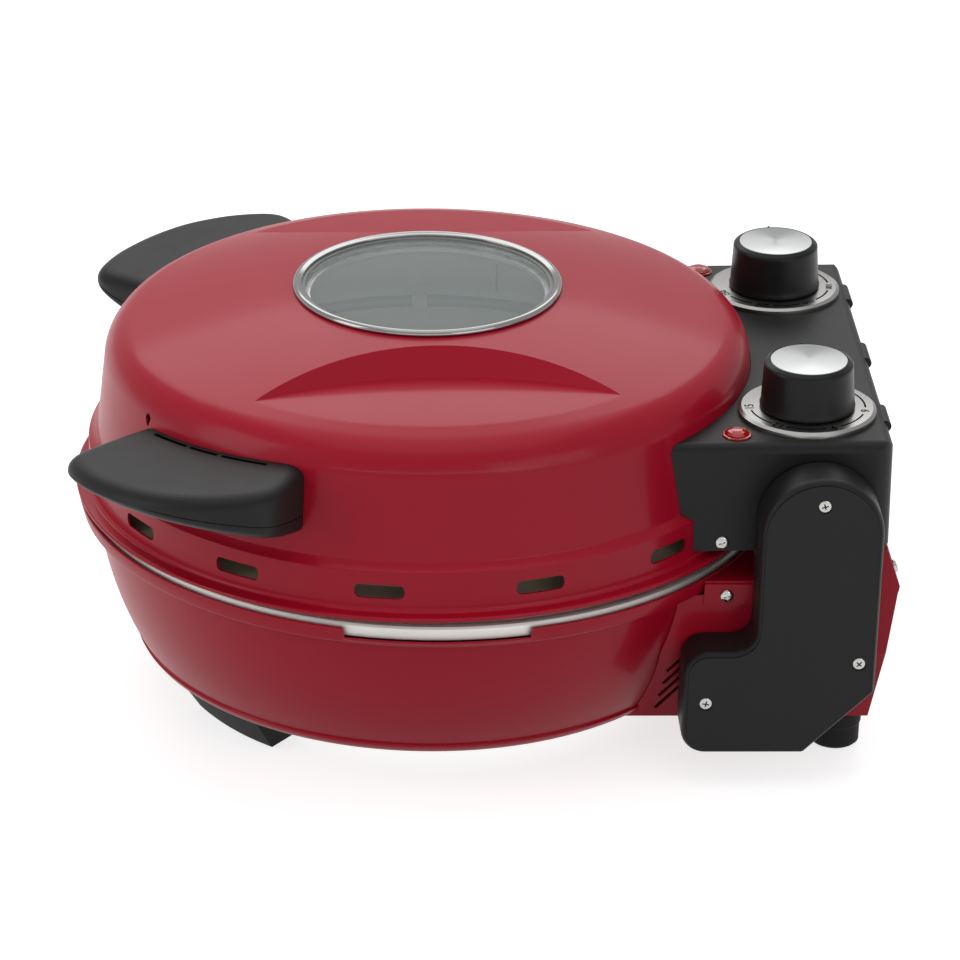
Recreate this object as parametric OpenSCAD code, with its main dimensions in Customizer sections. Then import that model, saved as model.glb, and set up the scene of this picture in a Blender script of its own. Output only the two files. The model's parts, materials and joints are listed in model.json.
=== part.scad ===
// Countertop electric pizza maker: a round steel base with a stone, a hinged steel lid with
// a glass window and two handles, and a control box that rides on the back of the lid.
// Every shape is drawn about the axis of the round oven and then placed by at_drum() or
// at_lid(), so that the origin lies under the middle of the whole appliance.

/* [Base] */
// Distance from the stone's edge to the base's rim
rim_margin = 22; // [20:0.5:26]
// Height of the rim above the table
rim_z = 102; // [98:0.5:105]
// Height of the upright band below the rim
rim_h = 8.4; // [6:0.1:11]
// Inward lean of the rim band from top to bottom
rim_lean = 1.7; // [0.5:0.1:3]
// Width of the step from the rim band to the bowl
step_w = 7.1; // [5:0.1:9]
// Distance that the bowl tapers in from its rim to the turn into its floor
bowl_taper = 28; // [24:0.5:36]
// Height of the bowl's floor above the table
floor_z = 20; // [16:0.5:24]
// Bulge of the bowl's side from the straight line
bowl_bulge = 3.6; // [1:0.1:6]
// Radius of the turn from the side to the floor
bowl_turn_r = 9; // [5:0.5:12]
// Thickness of the painted steel sheet
sheet = 0.9; // [0.6:0.1:1.4]
// Width of the bowl's floor round its service hole
floor_w = 37; // [32:1:48]
// Width of the notch in the rim at each side
notch_w = 90; // [60:1:110]
// Depth of the notch in the rim
notch_d = 4; // [2:0.1:5.5]

/* [Pan and stone] */
// Radius of the baking stone
stone_r = 155; // [145:0.5:165]
// Thickness of the baking stone
stone_t = 10; // [8:0.5:12]
// Thickness of the bright steel sheet
liner_t = 0.7; // [0.5:0.1:1.2]
// Width of the step that carries the stone
stone_seat = 8; // [5:0.5:12]
// Depth of the pan below the stone
pan_depth = 24; // [20:0.5:30]
// Height that the stone stays below the pan's flange
stone_drop = 2.5; // [1:0.1:5]
// Height of the turned-down edge of the pan's flange
flange_edge = 4.2; // [3:0.1:5.5]
// Radius of the bead along the flange's edge
bead_r = 3.2; // [2:0.1:4]

/* [Heaters] */
// Radius of a heater's tube
tube_r = 3.25; // [2.5:0.05:4]
// Distance from the stone's edge in to the lower heater's ring
low_ring_in = 37; // [28:1:48]
// Distance from the lid's lining in to the upper heater's ring
top_ring_in = 16; // [12:1:26]
// Half of the distance between a heater's two legs
leg_x = 30; // [24:1:36]
// Number of clips on each heater
clips = 3; // [3:1:4]

/* [Lid] */
// Distance that the lid's lip reaches beyond the base's rim
lip_lap = 1.6; // [0.5:0.1:3]
// Height of the lip's underside above the base's rim, with the lid level
lip_gap = 9; // [8.5:0.1:12]
// Thickness of the rolled lip
lip_t = 2.4; // [1.8:0.1:3]
// Width of the lip from the skirt outwards
lip_w = 7; // [5:0.1:9]
// Height of the skirt from the lip's underside to its ledge
skirt_h = 23.4; // [20:0.1:27]
// Width of the sloping ledge above the skirt
ledge_w = 4.5; // [3:0.1:6]
// Height of the sloping ledge
ledge_h = 2.8; // [2:0.1:4]
// Height of the drum's side from the ledge to where the shoulder starts
drum_h = 32; // [28:0.5:34]
// Inward lean of the drum's side over that height
drum_lean = 3.8; // [2:0.1:6]
// Radius of the shoulder
shoulder_r = 20; // [14:0.5:22]
// Radius of the domed crown
crown_r = 542; // [480:1:640]
// Height of the crown's virtual top above the ledge
crown_h = 78; // [76:0.2:80]
// Forward lean of the closed lid on its stop
lid_lean = 0.9; // [0.4:0.1:1.4]
// Radius of the crescent's inner wall at its floor
scoop_r = 133; // [126:0.5:140]
// Distance from the lid's axis to the nearest point of the crescent's floor
scoop_in = 84; // [80:0.5:96]
// Depth of the crescent's floor below the crown's virtual top
scoop_drop = 18.3; // [16.5:0.1:19.5]
// Length of a vent slot
vent_l = 24; // [16:0.5:28]
// Height of a vent slot
vent_h = 7.3; // [5:0.1:9]
// Angle from one vent slot to the next
vent_pitch = 24; // [20:1:30]
// Angle from the front to the first vent slot
vent_first = 11; // [8:0.5:13]
// Vent slots on each side
vents = 6; // [4:1:6]

/* [Window] */
// Radius of the window's opening in the crown
window_r = 64.5; // [58:0.5:66]
// Width of the ring's flange beyond the opening
ring_lap = 2.9; // [2:0.1:4]
// Height of the ring above the crown
ring_h = 3; // [2:0.1:4]
// Thickness of the glass
glass_t = 3.6; // [3:0.1:5]

/* [Handles] */
// Angle of the middle of a handle from the side of the lid, towards the front
handle_turn = 40; // [36:0.1:44]
// Angle that the pair of handles is turned together about the lid's axis
handle_skew = 1.3; // [0:0.1:2]
// Angle that a handle spans where it meets the drum
handle_span = 35.5; // [30:0.5:40]
// Reach of a handle beyond the drum
handle_out = 49.5; // [42:0.5:52]
// Height of the handle's top at the drum, above the ledge
handle_top = 40.2; // [38:0.1:43]
// Thickness of a handle at its heel
handle_t = 28.5; // [26:0.5:34]

/* [Control box] */
// Half of the box's width
box_x = 117.5; // [115:0.5:120]
// Distance from the hinge pins to the back of the box
box_rear = 36.3; // [34:0.1:38]
// Height of the box's top above the ledge
box_top = 36.8; // [34:0.1:39]
// Height of the box's side
box_h = 56; // [53:0.5:58]
// Wall of the box
box_t = 2.4; // [1.8:0.1:3]
// Radius of the box's edges
box_edge = 5; // [3:0.5:6]
// Distance from each end of the box to its knob
knob_in = 39.5; // [38:0.5:42]
// Radius of a knob at its foot
knob_r = 23; // [19:0.5:24]
// Height of a knob
knob_h = 24.5; // [20:0.5:28]
// Radius of a dial plate
dial_r = 33.6; // [30:0.1:34.5]
// Radius of a knob's shaft
shaft_r = 3; // [2.5:0.1:4]
// Radius of an indicator lamp
lamp_r = 6.6; // [5:0.1:8]

/* [Hinge and arms] */
// Distance from the base's rim back to the hinge pins
hinge_back = 8.7; // [7:0.1:10]
// Height of the hinge pins above the base's rim
hinge_up = 34; // [32:0.1:36]
// Radius of a hinge pin
pin_r = 4; // [3.5:0.1:4.5]
// Width of an arm across the appliance
arm_t = 23.5; // [21:0.5:26]
// Radius of an arm's round top
arm_r = 30; // [28:0.5:31]
// Thickness of the arm's cover plate
cover_t = 2.5; // [2:0.1:3.5]
// Margin of the arm's housing round its cover
cover_rim = 2.5; // [1.5:0.1:3.5]
// Drop of the arm's lower edge below the bowl's floor
arm_drop = 1.5; // [0:0.5:4]
// Reach of the arm's toe in front of the hinge pins
arm_reach = 64.2; // [60:0.1:66]

/* [Back and feet] */
// Distance from the hinge pins to the furthest edge of the back
back_reach = 42.3; // [41:0.1:45]
// Drop of that edge below the base's rim
back_drop = 3; // [1:0.5:6]
// Inward slope of the back's sides down to its floor
back_taper = 12.9; // [8:0.1:18]
// Distance from the turn of the bowl in to a front foot's outer edge
foot_in = 20; // [17:0.5:25]
// Width of a front foot
foot_w = 20; // [15:0.5:24]
// Angle that a front foot spans
foot_span = 25; // [18:0.5:30]
// Radius of a rear foot
rear_foot_r = 13.2; // [11:0.1:15]

/* [Fits] */
// Gap between pieces that are screwed together
seat_gap = 0.2; // [0.1:0.05:0.3]
// Gap between pieces that move past each other
run_gap = 0.5; // [0.4:0.05:0.8]
// Radial clearance of a pin or shaft that turns
turn_gap = 0.08; // [0.05:0.01:0.1]

/* [Hidden] */
$fn = 96;
over = 1;
far = 400;

// Base heights and radii
rim_r = stone_r + rim_margin;
bowl_foot_r = rim_r - bowl_taper;
service_r = bowl_foot_r - floor_w;
plate_lap = 10;
plate_slot_w = 4;
plate_slot_l = 44;
plate_slot_pitch = 18;
plate_slot_y = 40;
step_z = rim_z - rim_h;
bowl_top_r = rim_r - rim_lean - step_w;
flange_z = rim_z - 2.5;
flange_r = rim_r - rim_lean - sheet - seat_gap;
bead_z = rim_z - 0.6;
pan_r = stone_r + 2;
low_ring_r = stone_r - low_ring_in;
stone_top_z = rim_z - 0.5 - stone_drop;
stone_z = stone_top_z - stone_t;
well_r = pan_r - stone_seat;
pan_z = stone_z - seat_gap - pan_depth;
low_heat_z = pan_z + liner_t + 12;
clip_w = 8;
clip_t = 9;
leg_gap = 0.3;

// Lid heights and radii, with the lid level
lip_r = rim_r + lip_lap;
skirt_r = lip_r - lip_w;
lip_z = rim_z + lip_gap;
ledge_z = lip_z + skirt_h + ledge_h;
drum_r = skirt_r - ledge_w;
drum_dir = [-drum_lean, drum_h] / norm([drum_lean, drum_h]);
drum_in = [-drum_dir[1], drum_dir[0]];
crown_c = [0, ledge_z + crown_h - crown_r];
drum_foot = [drum_r, ledge_z];
turn_a = drum_foot + shoulder_r * drum_in - crown_c;
turn_t = -turn_a * drum_dir
    + sqrt(pow(turn_a * drum_dir, 2) - turn_a * turn_a + pow(crown_r - shoulder_r, 2));
turn_c = drum_foot + turn_t * drum_dir + shoulder_r * drum_in;
turn_a0 = atan2(-drum_in[1], -drum_in[0]);
turn_a1 = atan2((turn_c - crown_c)[1], (turn_c - crown_c)[0]);
scoop_x = scoop_in + scoop_r;
scoop_z = ledge_z + crown_h - scoop_drop;
scoop_draft = 0.5;
scoop_up = 40;
vent_z = lip_z + 12.8;

// Lid liner
liner_r = drum_r - 17.1;
top_ring_r = liner_r - top_ring_in;
liner_low = lip_z + 4.6;
liner_top = ledge_z + 50.3;
throat_r = window_r + 2.1;
throat_in_r = scoop_in - 5;
throat_low = scoop_z - sheet - 0.9;
top_heat_z = ledge_z + 10;

// Handle heights and slopes
handle_z1 = ledge_z + handle_top;
handle_z0 = handle_z1 - handle_t + 1;
handle_fall = 1;
handle_nod = 4;
handle_rise = 15;
grip_t = 2.2;

// Window heights
crown_at_hole = crown_c[1] + sqrt(pow(crown_r, 2) - pow(window_r, 2));
crown_at_lap = crown_c[1] + sqrt(pow(crown_r, 2) - pow(window_r + ring_lap, 2));
ring_wall = 1.3;
glass_r = window_r - seat_gap - ring_wall - 0.1;
glass_top = crown_at_hole - 0.2;
glass_low = glass_top - glass_t;
clamp_t = 2;
gasket_h = 0.8;
gasket_w = 1.6;

// Hinge
hinge_y = rim_r + hinge_back;
hinge_z = rim_z + hinge_up;

// Control box
box_back = hinge_y + box_rear;
box_z1 = ledge_z + box_top;
box_z0 = box_z1 - box_h;
box_front = box_back - 122;
step_y = box_back - 99;
step_up = 12.3;
knob_x = box_x - knob_in;
knob_y = hinge_y - 2.2;
dial_t = 3.2;
knob_z = box_z1 + dial_t + run_gap;
cap_r = knob_r - 4.2;
point_off = 184;
pointer_w = 2.4;
cap_t = 1;
shaft_z = box_z0 + 14;
floor_t = 1.6;
unit_h = 26;
lug_w = 20;
lug_r = 2;

// Hinge, arms and back
tab_t = 1.2;
back_x = box_x + run_gap;
arm_x0 = back_x + tab_t + seat_gap;
arm_x1 = arm_x0 + arm_t;
arm_wall = 2.5;
arm_leg = arm_r - 0.2;
arm_turn = 12;
arm_hollow = 11;
arm_cut = 33;
arm_z = floor_z - arm_drop;
arm_elbow_z = rim_z - 28;
arm_toe = hinge_y - arm_reach;
frame_t = 3;
frame_x = arm_x0 + arm_wall + seat_gap;
bush_r = pin_r + 4;
bracket_x = box_x - box_t - seat_gap;
lid_open = 74;
swing_low_r = norm([box_back + lug_r - hinge_y, box_z0 - hinge_z]) + 1.2;
swing_top_r = norm([box_back + lug_r + over - hinge_y, box_z1 - hinge_z]) + 1;
back_y = hinge_y + back_reach;
back_z = rim_z - back_drop;
back_foot_x = back_x - back_taper;
back_low_y = back_y - 9.5;
back_top_y = back_y - 7;
back_top_z = hinge_z - 18;
back_front = bowl_foot_r - 53;
back_waist_z = 62;
back_slope = (back_y - back_top_y) / (back_top_z - back_z);
back_t = 1.2;
louvre_n = 4;
louvre_w = 1.8;
louvre_l = 18;
louvre_lean = 52;
louvre_y = back_front + 21;
louvre_z = floor_z + 12.5;
louvre_pitch = 8;
seam_z = back_z - 3;
tab_y = sqrt(pow(rim_r + 1, 2) - pow(back_x + tab_t, 2));
tab_z = rim_z - 8.2;
inlet_x = -60;
inlet_z = 50;
inlet_r = 6;
head_r = 3.3;
head_h = 1.9;
screw_r = head_r * 0.45;
screw_drop = 4;
rear_foot_x = back_foot_x - rear_foot_r - 0.8;
rear_foot_y = back_low_y - rear_foot_r - 1.3;
foot_r = bowl_foot_r - foot_in;
foot_mid = 50.5;

// Middle of the whole appliance, from the oven's axis
back_end = back_y - screw_drop * back_slope + head_h * cos(atan(back_slope))
    + head_r * sin(atan(back_slope));
drum_y = (lip_r - back_end) / 2;

// Placement

module at_drum() {
    translate([0, drum_y, 0]) children();
}

module at_lid() {
    at_drum()
        translate([0, hinge_y, hinge_z])
            rotate([lid_lean, 0, 0])
                translate([0, -hinge_y, -hinge_z])
                    children();
}

module on_left() {
    mirror([1, 0, 0]) children();
}

// Shared outlines

// Points of an arc from p to q that bulges to the right of the way by sag
function arc_points(p, q, sag, n) =
    let (
        chord = norm(q - p),
        r = (chord * chord / 4 + sag * sag) / (2 * sag),
        u = (q - p) / chord,
        side = [u[1], -u[0]],
        c = (p + q) / 2 - side * (r - sag),
        a0 = atan2(p[1] - c[1], p[0] - c[0]),
        half = asin(chord / 2 / r)
    )
    [for (i = [0 : n]) c + r * [cos(a0 + 2 * half * i / n), sin(a0 + 2 * half * i / n)]];

// Points of a circle's stretch from angle a0 to a1
function turn_points(c, r, a0, a1, n) =
    [for (i = [0 : n]) c + r * [cos(a0 + (a1 - a0) * i / n), sin(a0 + (a1 - a0) * i / n)]];

// Side of the bowl from its floor up to the step, moved inwards by inset
function bowl_side(inset) = concat(
    turn_points([bowl_foot_r - bowl_turn_r, floor_z + bowl_turn_r],
        bowl_turn_r - inset, -90, -20, 5),
    [for (p = arc_points([bowl_foot_r - 0.4, floor_z + bowl_turn_r - 1],
        [bowl_top_r, step_z], bowl_bulge, 9)) p - [inset, 0]]);

// Outside of the lid from the ledge to the crown's middle, moved inwards by inset
function lid_side(inset, to_r) =
    let (
        r = crown_r - inset,
        a_end = acos(to_r / r)
    )
    concat(
        [drum_foot + inset * drum_in],
        turn_points(turn_c, shoulder_r - inset, turn_a0, turn_a1, 10),
        turn_points(crown_c, r, turn_a1, a_end, 8));

module revolve(points) {
    rotate_extrude() polygon(points);
}

module ring(r0, r1, z0, z1) {
    translate([0, 0, z0])
        difference() {
            cylinder(r = r1, h = z1 - z0);
            translate([0, 0, -over]) cylinder(r = r0, h = z1 - z0 + 2 * over);
        }
}

// Cylinder along X that starts at x0
module rod_x(x0, x1, y, z, r) {
    translate([x0, y, z]) rotate([0, 90, 0]) cylinder(r = r, h = x1 - x0);
}

// Cylinder along Y that starts at y0
module rod_y(x, y0, y1, z, r) {
    translate([x, y0, z]) rotate([-90, 0, 0]) cylinder(r = r, h = y1 - y0);
}

// Base

module base_shell() {
    color("firebrick")
        at_drum()
            difference() {
                revolve(concat(
                    [[service_r, floor_z]],
                    bowl_side(0),
                    [[rim_r - rim_lean, step_z], [rim_r, rim_z]],
                    [[rim_r - sheet, rim_z], [rim_r - rim_lean - sheet, step_z + sheet]],
                    [[bowl_top_r - sheet, step_z + sheet]],
                    [for (i = [len(bowl_side(sheet)) - 1 : -1 : 0]) bowl_side(sheet)[i]],
                    [[service_r, floor_z + sheet]]));
                for (s = [-1, 1])
                    translate([s * rim_r, 0, rim_z])
                        rotate([0, 90, 0])
                            linear_extrude(12, center = true)
                                square([2 * notch_d, notch_w], center = true);
                for (s = [-1, 1])
                    rod_y(s * leg_x, well_r, bowl_top_r + 10, low_heat_z, tube_r + 1);
            }
}

module base_pan() {
    bead_c = [flange_r - bead_r, bead_z];
    color("silver")
        at_drum()
            difference() {
                revolve(concat(
                    [[0, pan_z], [well_r, pan_z], [well_r, stone_z - liner_t - seat_gap]],
                    [[pan_r + liner_t, stone_z - liner_t - seat_gap], [pan_r + liner_t, flange_z - liner_t]],
                    [[bead_c[0] - bead_r + liner_t, flange_z - liner_t]],
                    turn_points(bead_c, bead_r - liner_t, 180, 0, 8),
                    [[flange_r - liner_t, bead_z - flange_edge], [flange_r, bead_z - flange_edge]],
                    turn_points(bead_c, bead_r, 0, 180, 8),
                    [[bead_c[0] - bead_r, flange_z], [pan_r, flange_z], [pan_r, stone_z - seat_gap]],
                    [[well_r - liner_t, stone_z - seat_gap], [well_r - liner_t, pan_z + liner_t]],
                    [[0, pan_z + liner_t]]));
                for (s = [-1, 1])
                    rod_y(s * leg_x, low_ring_r, pan_r + 10, low_heat_z, tube_r + leg_gap);
            }
}

module baking_stone() {
    color("wheat")
        at_drum()
            revolve([
                [0, stone_z], [stone_r - 1, stone_z], [stone_r, stone_z + 1],
                [stone_r, stone_top_z - 1.5], [stone_r - 1.5, stone_top_z], [0, stone_top_z]
            ]);
}

// Tube bent into a ring that is open at the back, with two straight legs
module heater(ring_r, z, leg_end) {
    gap_a = asin(leg_x / ring_r);
    translate([0, 0, z])
        rotate([0, 0, 90 + gap_a])
            rotate_extrude(angle = 360 - 2 * gap_a)
                translate([ring_r, 0]) circle(r = tube_r, $fn = 24);
    for (s = [-1, 1])
        translate([s * leg_x, ring_r * cos(gap_a), z]) {
            sphere(r = tube_r * 1.08, $fn = 24);
            rotate([-90, 0, 0]) cylinder(r = tube_r, h = leg_end - ring_r * cos(gap_a), $fn = 24);
            translate([0, leg_end - ring_r * cos(gap_a), 0])
                rotate([-90, 0, 0]) cylinder(r = tube_r * 0.4, h = 6, $fn = 24);
        }
}

module lower_heater() {
    color("dimgray") at_drum() heater(low_ring_r, low_heat_z, pan_r + 1);
}

module lower_heater_clips() {
    color("lightgray")
        at_drum()
            for (i = [0 : clips - 1])
                rotate([0, 0, -90 + i * 360 / (clips + 1) - (clips - 1) * 180 / (clips + 1)])
                    difference() {
                        translate([low_ring_r - clip_t / 2, -clip_w / 2, pan_z + liner_t])
                            cube([clip_t, clip_w, low_heat_z - pan_z - liner_t + tube_r + 1.2]);
                        translate([low_ring_r, -clip_w, low_heat_z])
                            rotate([-90, 0, 0])
                                cylinder(r = tube_r + leg_gap, h = 2 * clip_w, $fn = 24);
                    }
}

module service_plate() {
    color("dimgray")
        at_drum()
            difference() {
                ring(0, service_r + plate_lap, floor_z - sheet, floor_z);
                for (i = [-3 : 3])
                    for (s = [-1, 1])
                        translate([i * plate_slot_pitch, s * plate_slot_y, floor_z - sheet - over])
                            slot_up(plate_slot_w, plate_slot_l, sheet + 2 * over);
            }
}

// Upright slot with round ends, w wide along X and l long along Y
module slot_up(w, l, h) {
    translate([0, -(l - w) / 2, 0]) cylinder(r = w / 2, h = h, $fn = 24);
    translate([0, (l - w) / 2, 0]) cylinder(r = w / 2, h = h, $fn = 24);
    translate([-w / 2, -(l - w) / 2, 0]) cube([w, l - w, h]);
}

module service_screws() {
    color("silver")
        at_drum()
            for (a = [0 : 90 : 270])
                rotate([0, 0, a])
                    translate([service_r + plate_lap / 2, 0, floor_z - sheet])
                        mirror([0, 0, 1]) cylinder(r = head_r, h = head_h, $fn = 32);
}

module front_foot() {
    rotate([0, 0, -foot_mid - foot_span / 2])
        difference() {
            rotate_extrude(angle = foot_span)
                polygon([
                    [foot_r - foot_w, 0], [foot_r - 1.5, 0], [foot_r, 1.5],
                    [bowl_foot_r - bowl_turn_r + 1, floor_z - seat_gap],
                    [foot_r - foot_w - 4, floor_z - seat_gap]
                ]);
            translate([0, 0, floor_z - sheet - seat_gap])
                cylinder(r = service_r + plate_lap + seat_gap, h = 10);
        }
}

module front_foot_right() {
    color("#202020") at_drum() front_foot();
}

module front_foot_left() {
    color("#202020") at_drum() on_left() front_foot();
}

module rear_foot() {
    translate([rear_foot_x, rear_foot_y, 0])
        rotate_extrude()
            polygon([
                [0, 0], [rear_foot_r - 2, 0], [rear_foot_r - 0.6, 1.4], [rear_foot_r - 0.6, 11],
                [rear_foot_r, 12], [rear_foot_r, floor_z - seat_gap], [0, floor_z - seat_gap]
            ]);
}

module rear_foot_right() {
    color("#202020") at_drum() rear_foot();
}

module rear_foot_left() {
    color("#202020") at_drum() on_left() rear_foot();
}

// Outline of the back in Y and Z, shrunk by inset
function back_outline(inset) = [
    [back_front, floor_z + inset],
    [back_low_y - inset, floor_z + inset],
    [back_y - inset, back_z],
    [back_top_y - inset, back_top_z - inset],
    [hinge_y, back_top_z - inset],
    [hinge_y, rim_z - 1 - inset],
    [back_front, rim_z - 1 - inset]
];

// Outline of the back in X and Z, shrunk by inset
function back_section(inset) = [
    [-back_foot_x + inset, floor_z + inset], [back_foot_x - inset, floor_z + inset],
    [back_x - inset, back_waist_z], [back_x - inset, far],
    [-back_x + inset, far], [-back_x + inset, back_waist_z]
];

module back_block(inset) {
    intersection() {
        translate([-far / 2, 0, 0])
            rotate([90, 0, 90]) linear_extrude(far) polygon(back_outline(inset));
        translate([0, far, 0])
            rotate([90, 0, 0]) linear_extrude(2 * far) polygon(back_section(inset));
    }
}

// Space that the control box sweeps as the lid opens
module swing_space(extra) {
    rod_x(-far / 2, far / 2, hinge_y, hinge_z, swing_low_r + extra);
    intersection() {
        rod_x(-far / 2, far / 2, hinge_y, hinge_z, swing_top_r + extra);
        translate([0, hinge_y, hinge_z])
            rotate([-lid_open, 0, 0])
                translate([-far / 2, 0, -hinge_z + box_z0])
                    cube([far, box_back + over - hinge_y + extra, far]);
    }
}

// Round solid that the bowl fills, with the gap to its neighbours
module bowl_space(extra) {
    revolve(concat(
        [[0, floor_z - over]],
        [[bowl_foot_r - bowl_turn_r, floor_z - over]],
        [for (p = bowl_side(0)) p + [extra, 0]],
        [[bowl_top_r + extra, step_z - extra], [rim_r + extra, step_z - extra]],
        [[rim_r + extra, far], [0, far]]));
}

module rear_housing() {
    color("firebrick")
        at_drum()
            difference() {
                back_block(0);
                back_hollow();
                swing_space(0);
                bowl_space(seat_gap);
                translate([-far / 2, back_low_y - 4, seam_z]) cube([far, far, far]);
                rod_y(inlet_x, back_low_y - inlet_r, back_y, inlet_z, inlet_r + seat_gap);
                for (i = [0 : louvre_n - 1])
                    translate([0, louvre_y + 1.5 * i, louvre_z + louvre_pitch * i])
                        rotate([louvre_lean, 0, 0])
                            cube([far, louvre_l, louvre_w], center = true);
            }
}

// Space inside the back
module back_hollow() {
    difference() {
        back_block(back_t);
        swing_space(back_t);
    }
}

module rear_cover() {
    color("firebrick")
        at_drum()
            difference() {
                intersection() {
                    back_block(0);
                    translate([-far / 2, back_low_y - 4 + seat_gap, seam_z + seat_gap]) cube([far, far, far]);
                }
                swing_space(0);
                back_hollow();
            }
}

module rear_cover_screws() {
    color("silver")
        at_drum()
            for (i = [-1 : 1])
                translate([i * back_foot_x, back_y - screw_drop * back_slope, back_z + screw_drop])
                    rotate([-90 + atan(back_slope), 0, 0])
                        cylinder(r = head_r, h = head_h, $fn = 32);
}

// Bush that lines the cord's way through the back
module cord_bush() {
    lean = (back_y - back_low_y) / (back_z - floor_z);
    y_out = back_low_y + lean * (inlet_z + inlet_r + 2.5 - floor_z) + 0.1;
    color("#202020")
        at_drum()
            difference() {
                union() {
                    rod_y(inlet_x, y_out - 7, y_out + 0.5, inlet_z, inlet_r);
                    rod_y(inlet_x, y_out, y_out + 2.5, inlet_z, inlet_r + 2.5);
                }
                rod_y(inlet_x, y_out - 8, y_out + 3.5, inlet_z, inlet_r - 2.2);
            }
}

module terminal_block() {
    color("ivory")
        at_drum()
            translate([-30, hinge_y - 6, floor_z + back_t])
                difference() {
                    cube([60, 18, 20]);
                    for (i = [0 : 3])
                        translate([9 + i * 14, 9, 6]) cylinder(r = 3, h = 20, $fn = 24);
                }
}

// Steel plate on each side of the back that carries an arm
module side_tab() {
    translate([back_x, 0, 0])
        rotate([90, 0, 90])
            linear_extrude(tab_t)
                polygon([
                    [tab_y, tab_z - 5], [hinge_y + 20, tab_z - 5], [back_top_y - 7, seam_z],
                    [back_y - 0.4, seam_z], [back_y, back_z], [back_top_y, back_top_z],
                    [back_top_y - 5, back_top_z], [hinge_y + 20, tab_z + 6], [tab_y, tab_z + 6]
                ]);
}

module side_tab_right() {
    color("firebrick") at_drum() side_tab();
}

module side_tab_left() {
    color("firebrick") at_drum() on_left() side_tab();
}

module side_tab_screws() {
    color("silver")
        at_drum()
            for (s = [0, 1])
                mirror([s, 0, 0])
                    translate([back_x + tab_t, tab_y + 11, tab_z])
                        rotate([0, 90, 0]) cylinder(r = head_r, h = head_h, $fn = 32);
}

// Boot outline of an arm in Y and Z, shrunk by inset
module arm_outline(inset) {
    leg0 = hinge_y - arm_leg + inset;
    leg1 = hinge_y + arm_leg - inset;
    toe = arm_toe + inset;
    low = arm_z + inset;
    turn = arm_turn - inset;
    hollow = arm_hollow + inset;
    translate([hinge_y, hinge_z]) circle(r = arm_r - inset);
    polygon(concat(
        [[leg1, hinge_z], [leg0, hinge_z]],
        turn_points([leg0 - hollow, arm_elbow_z - inset + hollow], hollow, 0, -90, 6),
        turn_points([toe + turn, arm_elbow_z - inset - turn], turn, 90, 180, 6),
        turn_points([toe + turn, low + turn], turn, 180, 270, 6),
        [[leg1 - arm_cut + inset / 2, low], [leg1, low + arm_cut - inset / 2]]));
}

// Arm outline as a plate between two places along X
module arm_plate(x0, x1, inset) {
    translate([x0, 0, 0]) rotate([90, 0, 90]) linear_extrude(x1 - x0) arm_outline(inset);
}

module arm_housing() {
    difference() {
        arm_plate(arm_x0, arm_x1 - 0.6, 0);
        arm_plate(arm_x0 + arm_wall, arm_x1 + over, arm_wall);
        arm_plate(arm_x1 - cover_t, arm_x1 + over, cover_rim - 0.5);
        rod_x(arm_x0 - over, arm_x1, hinge_y, hinge_z, pin_r + run_gap);
    }
}

module arm_housing_right() {
    color("#202020") at_drum() arm_housing();
}

module arm_housing_left() {
    color("#202020") at_drum() on_left() arm_housing();
}

module arm_frame() {
    difference() {
        arm_plate(frame_x, frame_x + frame_t, 7);
        rod_x(arm_x0, arm_x1, hinge_y, hinge_z, pin_r + 0.02);
    }
    for (p = arm_screw_places)
        difference() {
            rod_x(frame_x + frame_t - 0.2, arm_x1 - cover_t - seat_gap, p[0], p[1], 4.2);
            rod_x(frame_x, arm_x1, p[0], p[1], screw_r + 0.1);
        }
}

// Places of the cover's screws in Y and Z
arm_screw_places = [
    [hinge_y, hinge_z + arm_r - 13.5],
    [hinge_y + arm_leg - 8.6, arm_z + 49.5],
    [arm_toe + 11.4, arm_z + 27.6]
];

module arm_frame_right() {
    color("gray") at_drum() arm_frame();
}

module arm_frame_left() {
    color("gray") at_drum() on_left() arm_frame();
}

module arm_cover() {
    difference() {
        arm_plate(arm_x1 - cover_t + seat_gap, arm_x1, cover_rim);
        for (p = arm_screw_places) {
            rod_x(arm_x0, arm_x1 + over, p[0], p[1], screw_r + 0.3);
            rod_x(arm_x1 - 1.2, arm_x1 + over, p[0], p[1], head_r + 0.1);
        }
    }
}

module arm_cover_right() {
    color("#202020") at_drum() arm_cover();
}

module arm_cover_left() {
    color("#202020") at_drum() on_left() arm_cover();
}

module arm_cover_screws() {
    color("silver")
        at_drum()
            for (s = [0, 1])
                mirror([s, 0, 0])
                    for (p = arm_screw_places) {
                        rod_x(arm_x1 - 1.2, arm_x1 - 0.2, p[0], p[1], head_r);
                        rod_x(arm_x1 - 11, arm_x1 - 1, p[0], p[1], screw_r);
                    }
}

module hinge_pin() {
    rod_x(bracket_x - 10, frame_x + frame_t + 3, hinge_y, hinge_z, pin_r);
    rod_x(frame_x + frame_t, frame_x + frame_t + 3, hinge_y, hinge_z, pin_r + 3);
}

module hinge_pin_right() {
    color("silver") at_drum() hinge_pin();
}

module hinge_pin_left() {
    color("silver") at_drum() on_left() hinge_pin();
}

// Lid

// Crescent-shaped pockets in the crown, grown by extra
module scoops(extra) {
    for (s = [-1, 1])
        translate([s * scoop_x, 0, scoop_z - extra])
            cylinder(
                r1 = scoop_r + extra * 0.62,
                r2 = scoop_r + extra * 0.62 + (scoop_up + extra) * scoop_draft,
                h = scoop_up + extra);
}

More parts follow.
